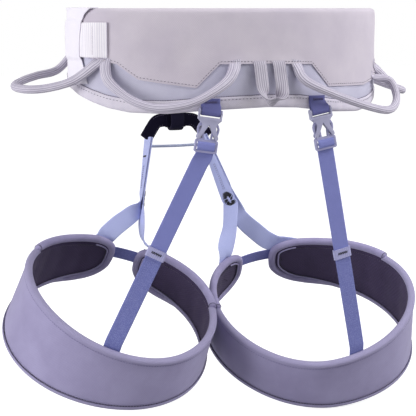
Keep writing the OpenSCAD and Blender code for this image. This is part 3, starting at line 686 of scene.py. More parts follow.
def gear_loop(key):
    """Braided tube whose two ends flatten and run in under the shell's hem."""
    route = GEAR_ROUTES[key]
    first, last = route[0][0], route[-1][0]
    start, end = ([belt_place(a, 0.9, hem_height(a) + 4), belt_place(a, 1.9, hem_height(a) - 2)]
                  for a in (first, last))
    path = evened(smooth(start + [belt_place(*p) for p in route[1:-1]] + end[::-1], 8), 1.6)
    d = tangents(path)
    n = carried(d, belt_out(first))
    want = unit(belt_out(last) - d[-1] * np.dot(belt_out(last), d[-1]))
    spin = math.atan2(np.dot(np.cross(n[-1], want), d[-1]), np.dot(n[-1], want))
    length = np.linalg.norm(np.diff(path, axis=0), axis=1).sum()
    turn = np.linspace(0, 2 * math.pi, 65)
    ribs = 1 + 0.06 * np.abs(np.sin(turn * 6))
    rows = []
    for p, t, m, k in zip(path, d, n, np.linspace(0, 1, len(path))):
        b = np.cross(t, m)
        q = spin * k
        face, side = m * math.cos(q) + b * math.sin(q), b * math.cos(q) - m * math.sin(q)
        near = min(k, 1 - k) * length
        open_up = min(1.0, max(0.0, (near - 3.5) / 9)) ** 0.6
        thick = 0.75 + 3.05 * open_up
        wide = 4.0 + 1.9 * max(0.0, 1 - near / 48)
        rows.append([p + (face * math.cos(w) * thick + side * math.sin(w) * wide) * r
                     for w, r in zip(turn, ribs)])
    piece = rounded(lay_surface("gear_loop_braid_" + key, rows, wrap=True), 60)
    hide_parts("gear_loop_" + key)
    root = (start[1] + end[1]) / 2
    metres([*root[:2], -24])
    metres([*root[:2], -40])
    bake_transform(piece)
    return piece


def haul_loop():
    """Flat ribbed tape: two strands under the shell's hem that meet in a point below."""
    half = ((10.4, 0.7, -21, 1, 0, 0), (10.4, 3.2, -25, 1, 0, 0), (10.4, 6.5, -36, 1, 0, 0),
            (10.3, 10, -47, 1, 0.1, 0), (8, 12, -55.5, 0.45, 0.8, 0))
    rows = [[-x, -BELT_B - y, z, *unit(w), 0] for x, y, z, *w in half]
    rows.append([0, -BELT_B - 12.5, -59.5, *unit([0, 0.7, -0.72]), 0])
    rows += [[x, -BELT_B - y, z, *unit([-w[0], w[1], w[2]]), 0] for x, y, z, *w in half[::-1]]
    piece = strap("haul_loop_tape", smooth(facing(rows), 6), HAUL_WIDTH, HAUL_THICK, 1.0, lip=0.25)
    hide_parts("haul_loop")
    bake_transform(piece)
    return piece


# ---- Tie-in points and belay loop ----

def upper_tie_in():
    """Dark band bowed out from the waist webbing, tacked down at both ends."""
    foot = CHANNEL + WEB_THICK / 2 + 0.1 + TIE_THICK / 2
    half = ((16, 9), (13.2, 19.5), (8, TIE_Y - BELT_B - 0.8))
    arch = [belt_place(187, foot, 0), *((-x, BELT_B + y, 0) for x, y in half), (0, TIE_Y, 0),
            *((x, BELT_B + y, 0) for x, y in half[::-1]), belt_place(173, foot, 0)]
    path = [belt_place(191.5, foot, 0), belt_place(189, foot, 0), *smooth(arch, 8),
            belt_place(171, foot, 0), belt_place(168.5, foot, 0)]
    piece = strap("upper_tie_in_band", upright(path), UPPER_TIE_WIDTH, TIE_THICK, 1.2, lip=0.2)
    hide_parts("upper_tie_in")
    marks = []
    for a in (180 - 9.6, 180 + 9.6):
        for z in (-7, 0, 7):
            marks += bar_tack(belt_place(a, foot + 1.75, z), belt_along(a), belt_out(a), 4, 1.6, 7)
    return piece, sewn("upper_tie_in_tacks", marks, 0.55)


def lower_tie_in():
    """Dark sleeve that the risers hang from, with a wear block over its middle."""
    half = ((38.5, 131, -117), (34.5, 132.2, -111.5), (29.5, 134, -105), (25.8, 135.2, -100.5),
            (21.5, TIE_Y, -97.8), (14, TIE_Y, -96.8), (6, TIE_Y, -96.8))
    path = smooth([(-x, y, z) for x, y, z in half] + list(half[::-1]), 6)
    wide = np.cross(tangents(path), [0, 1, 0])
    rows = [[*p, *w, 0] for p, w in zip(path, wide)]
    band = strap("lower_tie_in_band", rows, LOWER_TIE_WIDTH, TIE_THICK, 1.2, lip=0.35)
    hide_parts("lower_tie_in")
    rows = evened(rows, 1.2)
    middle = [r for r in rows if abs(r[0]) < 13.2]
    block = strap("lower_tie_in_block", middle, WEAR_BLOCK_WIDTH, WEAR_BLOCK_THICK, 1.2, lip=0.5)
    path, wide = rows[:, :3], unit(rows[:, 3:6])
    stitches = []
    for face in (1, -1):
        out = np.tile([0.0, face, 0.0], (len(path), 1))
        for sign in (-1, 1):
            run = np.concatenate([path + wide * sign * 5.8 + out * 1.85, out], 1)
            x = run[:, 0]
            for part in (run[(x < -13) & (x > -30)], run[(x > 13) & (x < 30)]):
                stitches += seam(part[:, :3], part[:, 3:], 2.4, 1.7)
    return band, block, sewn("lower_tie_in_stitches", stitches, 0.5)


def belay_loop():
    """Sewn ring of heavy webbing with the bar tacks of its overlap."""
    top, bottom = 7.0, LOWER_Z - 5
    r = BELAY_INNER + BELAY_THICK / 2
    bend = np.linspace(0, math.pi, 15)[1:-1]
    ring = [(TIE_Y - r, z) for z in np.linspace(bottom, top, 30)]
    ring += [(TIE_Y - r * math.cos(q), top + r * math.sin(q)) for q in bend]
    ring += [(TIE_Y + r, z) for z in np.linspace(top, bottom, 30)]
    ring += [(TIE_Y + r * math.cos(q), bottom - r * math.sin(q)) for q in bend]
    ring = np.array(ring + ring[:1])
    section = strap_section(BELAY_WIDTH, BELAY_THICK, 0.2)
    rows = []
    for k, (y, z) in enumerate(ring):
        a, b = (ring[-2], ring[1]) if k in (0, len(ring) - 1) else (ring[k - 1], ring[k + 1])
        t = unit(b - a)
        rows.append([(u, y - t[1] * v, z + t[0] * v) for u, v in section])
    piece = rounded(lay_surface("belay_loop_webbing", rows), 50)
    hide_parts("belay_loop")
    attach(piece, "belay_loop")
    marks = []
    for z in (-62, -52, -38, -28):
        for y, out in ((TIE_Y + r + 1.95, (0, 1, 0)), (TIE_Y - r - 1.95, (0, -1, 0))):
            marks += bar_tack((0, y, z), (1, 0, 0), out, 12, 2.4, 13)
    tacks = sewn("belay_loop_tacks", marks, 0.6)
    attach(tacks, "belay_loop")
    return piece, tacks


# ---- Leg loops ----

def leg_name(side, what):
    return f"{SIDE_NAMES[side]}_{what}"


def pad_stations(side, count):
    ends = np.array([0, 0.3, 0.8, 1.8, 3.2, 5, 7.5, 10.5])
    first, last = PAD_START[side], PAD_END[side]
    return np.concatenate([first + ends, np.linspace(first + PAD_ROUND, last - PAD_ROUND, count),
                           last - ends[::-1]])


def leg_pad(side):
    """Foam band with its shell outside and its lining inside, swelled between its edges."""
    count = 13
    rows = []
    for t in pad_stations(side, 130):
        low, high = hem(side, t) + 0.3, rim(side, t) - 0.3
        section = pad_section(low, high, min(2.0, (high - low) * 0.1), (2.6, -2.6), (1.3, -1.3), count)
        rows.append([leg_place(side, t, off, z) for off, z in section])
    piece = lay_surface(leg_name(side, "leg_pad"), rows, wrap=True)
    piece = puffed(piece, sewn_edges(piece, rows, 3, count), 4.0, 0.8)
    give(LEG_CLOTH, piece)
    piece.data.materials.append(DARK_MESH)
    lining_faces(side, piece)
    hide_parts(*(leg_name(side, n) for n in ("leg_shell", "leg_foam", "leg_lining")))
    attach(piece, leg_name(side, "leg"))
    return piece


def lining_faces(side, piece):
    """Gives the faces that look at the thigh the second material."""
    centre = mirrored(side, LEG_PLACE[side]) * MM
    up = unit(leg_place(side, 0, 0, 0) - leg_place(side, 0, 0, -10))
    for face in piece.data.polygons:
        arm = np.array(face.center) - centre
        arm -= up * np.dot(arm, up)
        face.material_index = int(np.dot(np.array(face.normal), arm) < 0)


def bound_edge(side, name, start, stop, up):
    """Narrow folded binding over a stretch of the band's rim (up = 1) or hem (-1)."""
    fold = ((-3.9, -1.6), (-4.05, -0.2), (-3.7, 1.2), (-2.6, 2.3), (0, 2.75), (2.6, 2.3), (3.7, 1.2),
            (4.05, -0.2), (3.9, -1.6), (3.1, -1.7), (3, 0), (0, 0.4), (-3, 0), (-3.1, -1.7))
    rows = []
    for t in np.linspace(start, stop, int(abs(stop - start) / 1.6)):
        z = edge(side, t, up)
        rows.append([leg_place(side, t, off, z + up * h) for off, h in fold + fold[:1]])
    piece = rounded(lay_surface(leg_name(side, name), rows, wrap=True), 50)
    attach(piece, leg_name(side, "leg"))
    return piece


def roll_route(side, at, sign, start, gap=ROLL_GAP):
    """Stations and heights of a roll round one end of the pad, from the rim to the hem."""
    turn = gap / (LEG_B * math.pi / 180)
    far = np.arange(abs(start - at), 20, -3.0)
    corner = list(far) + [18, 15, 12.5, 10.5, 8.5, 6.7, 5, 3.5, 2.2, 1.2, 0.5]
    route = [beside_edge(side, at + sign * e, gap, 1) for e in corner]
    route += [(at - sign * turn, mix(rim(side, at), hem(side, at), k)) for k in (0.15, 0.35, 0.65, 0.85)]
    route += [beside_edge(side, at + sign * e, gap, -1) for e in corner[::-1] if e <= 20]
    route += [beside_edge(side, at + sign * e, gap - (e - 20) * 0.16, -1) for e in (22, 25, 28, 31, 34, 37)]
    return route


def front_rolls(side):
    """Thick rolled edges round both front ends of the pad, thinning into the hem."""
    made = []
    for word, at, sign, start in (("outer", PAD_END[side], -1, ROLL_OUTER_FROM[side]),
                                  ("inner", PAD_START[side], 1, ROLL_INNER_TO[side])):
        path = [leg_place(side, t, 0, z) for t, z in roll_route(side, at, sign, start)]
        roll = tube(leg_name(side, f"leg_roll_{word}"), smooth(path, 2), roll_radius, 20, 1.6)
        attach(roll, leg_name(side, "leg"))
        made.append(roll)
    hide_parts(leg_name(side, "leg_front_rolls"))
    return made


def roll_radius(k):
    """Radius along a roll: a blunt cuff at its start, then full, then thin at the hem."""
    cuff = np.clip(k / 0.012, 0, 1)
    thin = np.clip((1 - k) / 0.17, 0, 1)
    return ROLL_RADIUS * (0.72 + 0.28 * np.sqrt(1 - (1 - cuff) ** 2)) * (0.42 + 0.58 * thin)


def leg_seam(side, stations, off, height, level, pitch, length):
    """Stitches round the leg loop at a height, on its outer face or, with off below 0, its lining;
    level is the height at which the face's direction is taken."""
    face = 1 if off > 0 else -1
    places = np.array([leg_place(side, t, off, height(t)) for t in stations])
    outs = np.array([face * leg_out(side, t, level(t)) for t in stations])
    return seam(places, outs, pitch, length)


def leg_stitches(side):
    """Stitch rows above the hem, below the rim, and along both edges of the lining. The dark row above the
    hem is partly stitching and partly painted shadow of the gap above the hem binding.
    """
    first, last = PAD_START[side], PAD_END[side]
    outside, inside = np.linspace(first + 30, last - 30, 380), np.linspace(first + 8, last - 8, 420)

    def from_hem(gap):
        return lambda t: hem(side, t) + gap

    def from_rim(gap):
        return lambda t: rim(side, t) - gap

    # Dark, thick stitches just above the hem binding: partly real stitching, partly painted shadow of the gap
    # between binding and shell.
    hem_row = leg_seam(side, outside, 3.75, from_hem(3.2), from_hem(0), 3.0, 2.7)
    rim_row = leg_seam(side, outside, 3.6, from_rim(3.4), from_hem(0), 3.0, 2.0)
    lining_row = leg_seam(side, inside, -3.65, from_rim(4.6), from_rim(4.6), 2.8, 2.0)
    lining_row += leg_seam(side, inside, -3.65, from_hem(4.6), from_hem(0), 2.8, 2.0)
    made = (sewn(leg_name(side, "leg_hem_stitches_and_shadow"), hem_row, 0.62),
            sewn(leg_name(side, "leg_rim_stitches"), rim_row, 0.34),
            sewn(leg_name(side, "leg_lining_stitches"), lining_row, 0.42))
    for piece in made:
        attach(piece, leg_name(side, "leg"))
    return made


def lining_piping(side):
    """Thin piping and its dark seam round the lining's lower edge and both noses."""
    first, last = PAD_START[side], PAD_END[side]
    paths = []
    for gap, skip in ((-2.6, 5), (-4.4, 0)):
        nose_a = roll_route(side, last, -1, last - 24, gap)[skip:-6]
        nose_b = roll_route(side, first, 1, first + 24, gap)[skip:-6]
        lower = [beside_edge(side, t, gap, -1) for t in np.arange(last - 22, first + 21, -4)]
        route = nose_a + lower + nose_b[::-1]
        paths.append(np.array([leg_place(side, t, -3.5, z) for t, z in route]))
    piping = tube(leg_name(side, "leg_lining_piping"), smooth(paths[0], 2), 0.9, 10, 2.0)
    row = evened(smooth(paths[1], 2), 2.0)
    centre = mirrored(side, LEG_PLACE[side])
    outs = unit(centre - row + (row - centre) * (0, 0, 1))
    line = sewn(leg_name(side, "leg_piping_seam"), seam(row, outs, 2.3, 2.7), 0.62)
    for piece in (piping, line):
        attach(piece, leg_name(side, "leg"))
    return piping, line


def leg_tacks(side):
    """Bar tacks that hold the risers and the rear strap, and the stitches round the rolls' cuffs."""
    marks = []
    for t in (OUTER_STATION[side] - 3, INNER_STATION[side] + 3, STRAP_STATION[side]):
        marks += bar_tack(leg_place(side, t, -3.7, -19), leg_out(side, t), -leg_out(side, t), 6, 1.6, 8)
        if t != STRAP_STATION[side]:
            along = leg_place(side, t - 3, 5.6, -13) - leg_place(side, t + 3, 5.6, -13)
            marks += bar_tack(leg_place(side, t, 5.6, -13), along, leg_out(side, t), 12, 2.2, 12)
    for t, sign in ((ROLL_OUTER_FROM[side], 1), (ROLL_INNER_TO[side], -1)):
        middle = rim(side, t) + 3.3
        for q in np.radians(np.arange(-110, 111, 11)):
            across, up = math.sin(q), math.cos(q)
            spot = leg_place(side, t + 0.6 * sign, 4.35 * across, middle + 4.35 * up - 0.5)
            centre = leg_place(side, t, 0, 0)
            marks.append((spot, leg_place(side, t, up, -across) - centre,
                          leg_place(side, t, across, up) - centre, 1.3))
    piece = sewn(leg_name(side, "leg_tacks"), marks, 0.6)
    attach(piece, leg_name(side, "leg"))
    return piece


def front_elastic(side):
    """Flat elastic that joins the two front ends of the leg pad."""
    off, level = 3.75, -14
    rows = []
    for t in np.linspace(PAD_START[side] + 5, PAD_END[side] - 365, 24):
        wide = leg_place(side, t, off, level + 5) - leg_place(side, t, off, level - 5)
        rows.append([*leg_place(side, t, off, level), *wide, 0])
    piece = strap(leg_name(side, "front_elastic_tape"), rows, ELASTIC_WIDTH, ELASTIC_THICK, 1.5)
    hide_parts(leg_name(side, "leg_front_elastic"))
    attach(piece, leg_name(side, "leg"))
    return piece


# ---- Risers ----

def right_hand(side, t, off, z):
    """Place on the leg loop drawn on the right-hand side, before it is mirrored."""
    return mirrored(side, leg_place(side, t, off, z))


def rim_way(side, t, z):
    return unit(right_hand(side, t - 4, 0, z) - right_hand(side, t + 4, 0, z))


def to_side(side, rows):
    """Rows drawn on the right-hand side, mirrored for the left leg."""
    return np.array(rows, float) * ((-1, 1, 1, -1, 1, 1, -1) if side == LEFT else 1)


def slanting_foot(side, last, station):
    """Rows that carry a strap on over the rim and down the pad's outer face."""
    foot = right_hand(side, station, RISER_OFF, 1)
    out = mirrored(side, leg_out(side, station))
    up = unit(right_hand(side, station, RISER_OFF, 3) - right_hand(side, station, RISER_OFF, -7))
    along = -rim_way(side, station, 1)
    way = unit(foot - last)
    way = unit(way - out * (way @ out))
    return [[*right_hand(side, station + s * (way @ along) / 1.85, RISER_OFF, 1 + s * (way @ up)),
             *unit(np.cross(way, out)), 0] for s in (0, 6, 13, 20)]


def stem_lift(k):
    """How far each riser strap stands off the stem's middle, a share k of the way down it."""
    return 1.05 * np.maximum(1, 10 * k - 7.4)


def riser(side, word):
    """One of the two straps that run face to face from the tie-in sleeve and part above the leg."""
    outer = word == "outer"
    top, split = np.array(RISER_TOP), np.array(RISER_SPLIT[side])
    rows = []
    for k in np.arange(-0.06, 0.8 if outer else 1.01, 0.1):
        turn = math.radians(RISER_TURN[side] * k)
        lift = stem_lift(k) * (-1 if outer else 1)
        rows.append([*mix(top, split, k), math.sin(turn), -math.cos(turn), 0, lift])
    rows += [[*branch, 0] for branch in RISER_BRANCH[side, word]]
    if outer:
        rows += slanting_foot(side, rows[-1][:3], OUTER_STATION[side])
    else:
        rows += [[*right_hand(side, t, RISER_OFF, z), *rim_way(side, t, z), 0] for t, z in INNER_FOOT[side]]
    rows = to_side(side, smooth(facing(rows), 10))
    piece = strap(leg_name(side, f"riser_{word}_webbing"), rows, RISER_WIDTH, RISER_THICK, 1.6,
                  wider=RISER_SPREAD if outer else 0)
    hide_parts(leg_name(side, f"riser_{word}"))
    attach(piece, leg_name(side, "leg"))
    return piece, rows


def patch_stitches(path, directions, at, face, lift):
    """Close slanting stitches round an oval that follows the strap; at is its middle row."""
    d, n, s = directions
    out = n[at] * face
    marks = []
    for q in np.linspace(0, 2 * math.pi, 34, endpoint=False):
        i = at + int(round(PATCH_LENGTH / 2 * math.sin(q)))
        ray = s[i] * math.cos(q) + d[i] * math.sin(q)
        spot = path[i] + s[i] * (PATCH_WIDTH / 2) * math.cos(q) + n[i] * face * (lift[i] + 1.9)
        marks.append((spot, ray + 0.25 * np.cross(out, ray), out, 6.4))
    return marks


def riser_marks(side, rows):
    """Oval wear patch on the inward face, and on both faces the top tack and the centre seam."""
    high, low = RISER_TOP[2], RISER_SPLIT[side][2]
    rows = evened(rows[rows[:, 2] > low], 1.0)
    path = rows[:, :3]
    d, n, s = strap_frame(path, rows[:, 3:6])
    heights = path[:, 2]
    at, top = (int(np.argmin(abs(heights - z))) for z in (low + 12, -137))
    inward = -1 if n[at][0] * path[at][0] > 0 else 1
    lift = stem_lift((high - heights) / (high - low))
    below_tack = (heights < -146) & (heights > low + 22)
    marks, seams = [], []
    for face in (1, -1):
        out = n[at] * face
        if face == inward:
            marks += patch_stitches(path, (d, n, s), at, face, lift)
        marks += bar_tack(path[top] + out * 2.3, s[top], out, 8, 2.2, 9)
        for sign in (-1, 1):
            line = path[below_tack] + s[below_tack] * 1.1 * sign + out * 2.15
            if len(line) > 3:
                seams += seam(line, np.tile(out, (len(line), 1)), 2.4, 1.8)
    patch = sewn(leg_name(side, "riser_patch"), marks, 1.3)
    line = sewn(leg_name(side, "riser_centre_stitches"), seams, 0.45)
    for piece in (patch, line):
        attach(piece, leg_name(side, "leg"))
    return patch, line


def link_cord():
    """Round elastic between the tops of the two risers, with a slight sag."""
    half, sag = 33, 0.6
    path = [(x, RISER_TOP[1], -126 - sag * math.cos(x / half * math.pi / 2))
            for x in np.linspace(-half, half, 30)]
    piece = tube("riser_link_elastic", path, 1.65, 14, 1.5)
    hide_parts("riser_link_cord")
    return piece


# ---- Rear tabs, buckles and straps ----

def rear_tab(side):
    """Webbing folded round the buckle's bar and tacked over the trim."""
    name, angle = leg_name(side, "rear_tab"), TAB_ANGLE[side]
    level, leaned = belt_along(angle), across_buckle(side)
    r = BAR_RADIUS + 0.45 + TAB_THICK / 2
    fold = [(0, r, 4.4), *((0, r * math.cos(q), -r * math.sin(q)) for q in np.radians(range(0, 181, 30))),
            (0, -1, 4.8)]
    rows = [[*belt_place(angle, 1.9, -56), *level, 0], [*belt_place(angle, 1.9, -61), *level, 0],
            *([*buckle_right(side, p), *leaned, 0] for p in fold),
            [*belt_place(angle, 3.8, -61), *level, 0], [*belt_place(angle, 3.6, -56), *level, 0]]
    piece = strap(name + "_webbing", to_side(side, smooth(rows, 5)), TAB_WIDTH, TAB_THICK, 0.9)
    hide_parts(name)
    marks = bar_tack(mirrored(side, belt_place(angle, 4.6, -59.5)), mirrored(side, level),
                     mirrored(side, belt_out(angle)), 12.5, 2.6, 15)
    tack = sewn(name + "_tack", marks, 0.7)
    metres(mirrored(side, belt_place(angle, 2.8, -61)))
    metres(mirrored(side, buckle_right(side, (0, 0, 2.5))))
    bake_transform(piece)
    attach(tack, "belt")
    return piece, tack


def moulded(node_name, body, soft_edge):
    """Copy of a buckle part with its edges rounded as moulding leaves them."""
    piece = added(node_name + "_moulded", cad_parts[node_name].data.copy())
    pick(piece)
    bpy.ops.object.mode_set(mode="EDIT")
    bpy.ops.mesh.select_all(action="SELECT")
    bpy.ops.mesh.remove_doubles(threshold=2e-6)
    bpy.ops.mesh.dissolve_limited(angle_limit=math.radians(3))
    bpy.ops.mesh.normals_make_consistent(inside=False)
    bpy.ops.object.mode_set(mode="OBJECT")
    soft = piece.modifiers.new("edge", "BEVEL")
    soft.width = soft_edge * MM
    soft.segments = 2
    soft.limit_method = "ANGLE"
    soft.angle_limit = math.radians(40)
    soft.use_clamp_overlap = True
    bpy.ops.object.modifier_apply(modifier="edge")
    rounded(piece, 35)
    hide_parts(node_name)
    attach(piece, body)
    return piece


def buckle_right(side, v):
    return mirrored(side, buckle_place(side, v))


def across_buckle(side):
    return unit(buckle_right(side, (1, 0, 0)) - buckle_right(side, (0, 0, 0)))


def strap_line(side, k):
    """Row of the rear strap on the right-hand side, a share k of the way down to the leg loop."""
    start = buckle_right(side, (STRAP_SHIFT[side], 3, -50))
    foot = right_hand(side, STRAP_STATION[side], -4.6, 9)
    wide = unit(mix(across_buckle(side), -rim_way(side, STRAP_STATION[side], 0), k))
    return [*mix(start, foot, k), *wide, 0]


def in_sleeve(side, k):
    return mix(SLEEVE_AT[side][0], SLEEVE_AT[side][1], k)


def rear_strap(side):
    """Woven strap threaded over the ladder's middle rung and down to the sleeve."""
    leaned = across_buckle(side)
    turn = ((3, -27.4), (2.6, -28.2), (0, -29), (-2, -29.6), (-2.75, -31), (-2.8, -33.2), (-2.75, -35.4),
            (-2, -36.8), (0, -37.4), (2.6, -38), (3, -39.5), (3, -43))
    rows = [[*buckle_right(side, (0, y, z)), *leaned, 0] for y, z in turn]
    rows = list(smooth(rows + [strap_line(side, 0)], 5))
    rows += [strap_line(side, k) for k in np.linspace(0.03, in_sleeve(side, 0.47), 24)]
    piece = strap(leg_name(side, "rear_strap_webbing"), to_side(side, rows), STRAP_WIDTH, STRAP_THICK, 1.2)
    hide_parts(leg_name(side, "rear_strap"))
    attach(piece, leg_name(side, "rear_strap"))
    return piece


def elastic_keeper(side):
    """Folded sleeve over the join, with a tack on each face."""
    rows = to_side(side, [strap_line(side, k) for k in np.linspace(*SLEEVE_AT[side], 10)])
    path = rows[:, :3]
    _, n, s = strap_frame(path, rows[:, 3:6])
    outside, bore = ([[c + a * si + b * ni for a, b in ring] for c, si, ni in zip(path, s, n)]
                     for ring in (strap_section(STRAP_WIDTH + 2.4, 4.0, 0.2),
                                  strap_section(STRAP_WIDTH + 0.8, 2.3)[::-1]))
    piece = rounded(lay_surface(leg_name(side, "sleeve_fold"), outside + bore[::-1] + outside[:1]), 45)
    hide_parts(leg_name(side, "elastic_sleeve"))
    marks = []
    for face in (1, -1):
        marks += bar_tack(path[4] + n[4] * 2.3 * face, s[4], n[4] * face, 10, 3, 11)
    tack = sewn(leg_name(side, "sleeve_tack"), marks, 0.75)
    for p in (piece, tack):
        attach(p, leg_name(side, "rear_strap"))
    return piece, tack


def rear_elastic(side):
    """Speckled elastic from the sleeve to the inside face of the leg loop."""
    t = STRAP_STATION[side]
    rows = [strap_line(side, k) for k in np.linspace(in_sleeve(side, 0.53), 0.9, 24)]
    inside = [[*right_hand(side, t, -4.9, z), *-rim_way(side, t, z), 0] for z in (9, 0, -10, -22)]
    rows += list(smooth(inside, 6))
    piece = strap(leg_name(side, "rear_elastic_tape"), to_side(side, rows), STRAP_WIDTH, STRAP_THICK, 1.6)
    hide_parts(leg_name(side, "rear_elastic"))
    low, high = (strap_line(side, k)[:3] for k in (0.86, SLEEVE_AT[side][1]))
    metres(mirrored(side, low))
    metres(mirrored(side, high))
    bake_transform(piece)
    return piece


# ---- Finishes ----

def paint(colour):
    """Colour from its everyday 0-255 values, as the shader wants it."""
    return [c / 12.92 if c <= 0.04045 else ((c + 0.055) / 1.055) ** 2.4
            for c in (v / 255 for v in colour)] + [1.0]


def feed(tree, slot, value):
    """Sets a socket to a value, or links another socket to it."""
    if isinstance(value, (int, float, list, tuple)):
        slot.default_value = value
    else:
        tree.links.new(value, slot)


def new_group(name, inputs, outputs):
    """Shader node group; returns it with its sockets inside: what it is given and what it puts out."""
    group = bpy.data.node_groups.new(name, "ShaderNodeTree")
    for label, kind, value in inputs:
        socket = group.interface.new_socket(label, in_out="INPUT", socket_type="NodeSocket" + kind)
        if value is not None:
            socket.default_value = value
    for label, kind in outputs:
        group.interface.new_socket(label, in_out="OUTPUT", socket_type="NodeSocket" + kind)
    return group, group.nodes.new("NodeGroupInput").outputs, group.nodes.new("NodeGroupOutput").inputs


def node(tree, kind, **sockets):
    made = tree.nodes.new(kind)
    for label, value in sockets.items():
        feed(tree, made.inputs[label.replace("_", " ")], value)
    return made


def maths(tree, operation, *values, clamp=False):
    """Math node on sockets or numbers; returns its output."""
    made = tree.nodes.new("ShaderNodeMath")
    made.operation = operation
    made.use_clamp = clamp
    for slot, value in zip(made.inputs, values):
        feed(tree, slot, value)
    return made.outputs[0]


def sine(tree, value, turn):
    return maths(tree, "SINE", maths(tree, "MULTIPLY", value, turn))


def blended(tree, factor, a, b):
    """Mix of two colours; factor, a and b are sockets or values."""
    made = tree.nodes.new("ShaderNodeMix")
    made.data_type = "RGBA"
    for slot, value in ((made.inputs[0], factor), (made.inputs[6], a), (made.inputs[7], b)):
        feed(tree, slot, value)
    return made.outputs[2]


def map_group(name, numbers, high, low):
    """Group that draws on a map in metres between two named colours, and puts out colour and height. The low
    colour is painted shade, laid where the pattern's height is low, in its hollows.
    """
    inputs = [("Map", "Vector", None), *((label, "Float", value) for label, value in numbers),
              (high + " Colour", "Color", None), (low + " Colour", "Color", None)]
    g, given, out = new_group(name, inputs, [("Colour", "Color"), ("Height", "Float")])
    apart = node(g, "ShaderNodeSeparateXYZ", Vector=given["Map"])

    def finish(height, mask):
        g.links.new(height, out["Height"])
        # Painted shade: the mix turns to the low colour wherever the height is low.
        g.links.new(blended(g, mask, given[low + " Colour"], given[high + " Colour"]), out["Colour"])
        return g

    return g, given, apart.outputs[0], apart.outputs[1], finish


def weave_group():
    """Plain weave: threads over and under each other, with painted shade in the gaps between them."""
    g, given, x, y, finish = map_group("Plain Weave", [("Threads", 1200.0)], "Thread", "Gap")
    turn = maths(g, "MULTIPLY", given["Threads"], math.pi)
    over = maths(g, "MULTIPLY_ADD", maths(g, "MULTIPLY", sine(g, x, turn), sine(g, y, turn)), 0.5, 0.5)
    return finish(over, maths(g, "POWER", over, 0.7))


def rib_group():
    """Webbing: cords along the strap, crossed by a fine slanting twill, with painted shade in the grooves."""
    g, given, x, y, finish = map_group(
        "Webbing Ribs", [("Ribs", 600.0), ("Twill", 900.0), ("Twill Share", 0.4)], "Rib", "Groove")
    cord = maths(g, "ABSOLUTE", sine(g, y, maths(g, "MULTIPLY", given["Ribs"], math.pi)))
    slant = maths(g, "ADD", x, maths(g, "PINGPONG", y, 0.0016))
    lines = sine(g, slant, maths(g, "MULTIPLY", given["Twill"], 2 * math.pi))
    twill = maths(g, "MULTIPLY_ADD", lines, 0.5, 0.5)
    share = given["Twill Share"]
    height = maths(g, "ADD", maths(g, "MULTIPLY", cord, maths(g, "SUBTRACT", 1.0, share)),
                   maths(g, "MULTIPLY", twill, share))
    return finish(height, height)


def cloth_group():
    """Slow change of shade over cloth, with a fine fuzz, from noise in the object's own space."""
    g, given, out = new_group("Cloth Shade", [
        ("Place", "Vector", None), ("Colour", "Color", None), ("Shade", "Color", None),
        ("Patch Scale", "Float", 28.0), ("Amount", "Float", 0.35), ("Fuzz", "Float", 0.12)],
        [("Colour", "Color"), ("Crease", "Float")])
    slow = node(g, "ShaderNodeTexNoise", Vector=given["Place"], Scale=given["Patch Scale"], Detail=4.0,
                Roughness=0.55).outputs[0]
    fine = node(g, "ShaderNodeTexNoise", Vector=given["Place"], Scale=900.0, Detail=2.0).outputs[0]
    patch = maths(g, "MULTIPLY", maths(g, "MULTIPLY_ADD", slow, 2.6, -0.8, clamp=True), given["Amount"])
    speck = maths(g, "MULTIPLY", maths(g, "MULTIPLY_ADD", fine, 2.0, -0.5, clamp=True), given["Fuzz"])
    shaded = blended(g, patch, given["Colour"], given["Shade"])
    g.links.new(blended(g, speck, shaded, given["Shade"]), out["Colour"])
    g.links.new(slow, out["Crease"])
    return g


def braid_group():
    """Braided cover: two sets of slanting strands, with painted shade in the gaps between them."""
    g, given, x, y, finish = map_group("Braid", [("Strands", 420.0)], "Strand", "Gap")
    turn = maths(g, "MULTIPLY", given["Strands"], math.pi)
    a, b = (maths(g, "ABSOLUTE", sine(g, maths(g, way, x, y), turn)) for way in ("ADD", "SUBTRACT"))
    height = maths(g, "MAXIMUM", a, b)
    return finish(height, maths(g, "POWER", height, 2.0))


PLAIN_WEAVE, WEBBING_RIBS, CLOTH_SHADE, BRAID = weave_group(), rib_group(), cloth_group(), braid_group()


def start_material(name, roughness, sheen=0.0, metallic=0.0, shine=0.3):
    """New material; returns it with its tree, its shader and its texture coordinates."""
    made = bpy.data.materials.new(name)
    made.use_nodes = True
    tree = made.node_tree
    shader = tree.nodes["Principled BSDF"].inputs
    for label, value in (("Roughness", roughness), ("Sheen Weight", sheen), ("Sheen Roughness", 0.5),
                         ("Metallic", metallic), ("Specular IOR Level", shine)):
        shader[label].default_value = value
    return made, tree, shader, tree.nodes.new("ShaderNodeTexCoord").outputs


def placed(tree, group, **sockets):
    """A node group in a material, with its own values; returns its outputs."""
    made = tree.nodes.new("ShaderNodeGroup")
    made.node_tree = group
    for label, value in sockets.items():
        feed(tree, made.inputs[label.replace("_", " ")], value)
    return made.outputs


def cloth_shade(tree, coords, colour, shade, scale, amount, fuzz):
    return placed(tree, CLOTH_SHADE, Place=coords["Object"], Colour=colour, Shade=shade, Patch_Scale=scale,
                  Amount=amount, Fuzz=fuzz)


def bumped(tree, shader, height, distance, strength):
    bump = node(tree, "ShaderNodeBump", Height=height, Distance=distance, Strength=strength)
    tree.links.new(bump.outputs[0], shader["Normal"])


def relief(tree, shader, pattern, depth):
    """Gives a material a pattern's colour, painted shade in its hollows included, and its height as relief.
    """
    tree.links.new(pattern["Colour"], shader["Base Color"])
    bumped(tree, shader, maths(tree, "MULTIPLY", pattern["Height"], depth), 1.0, 0.8)


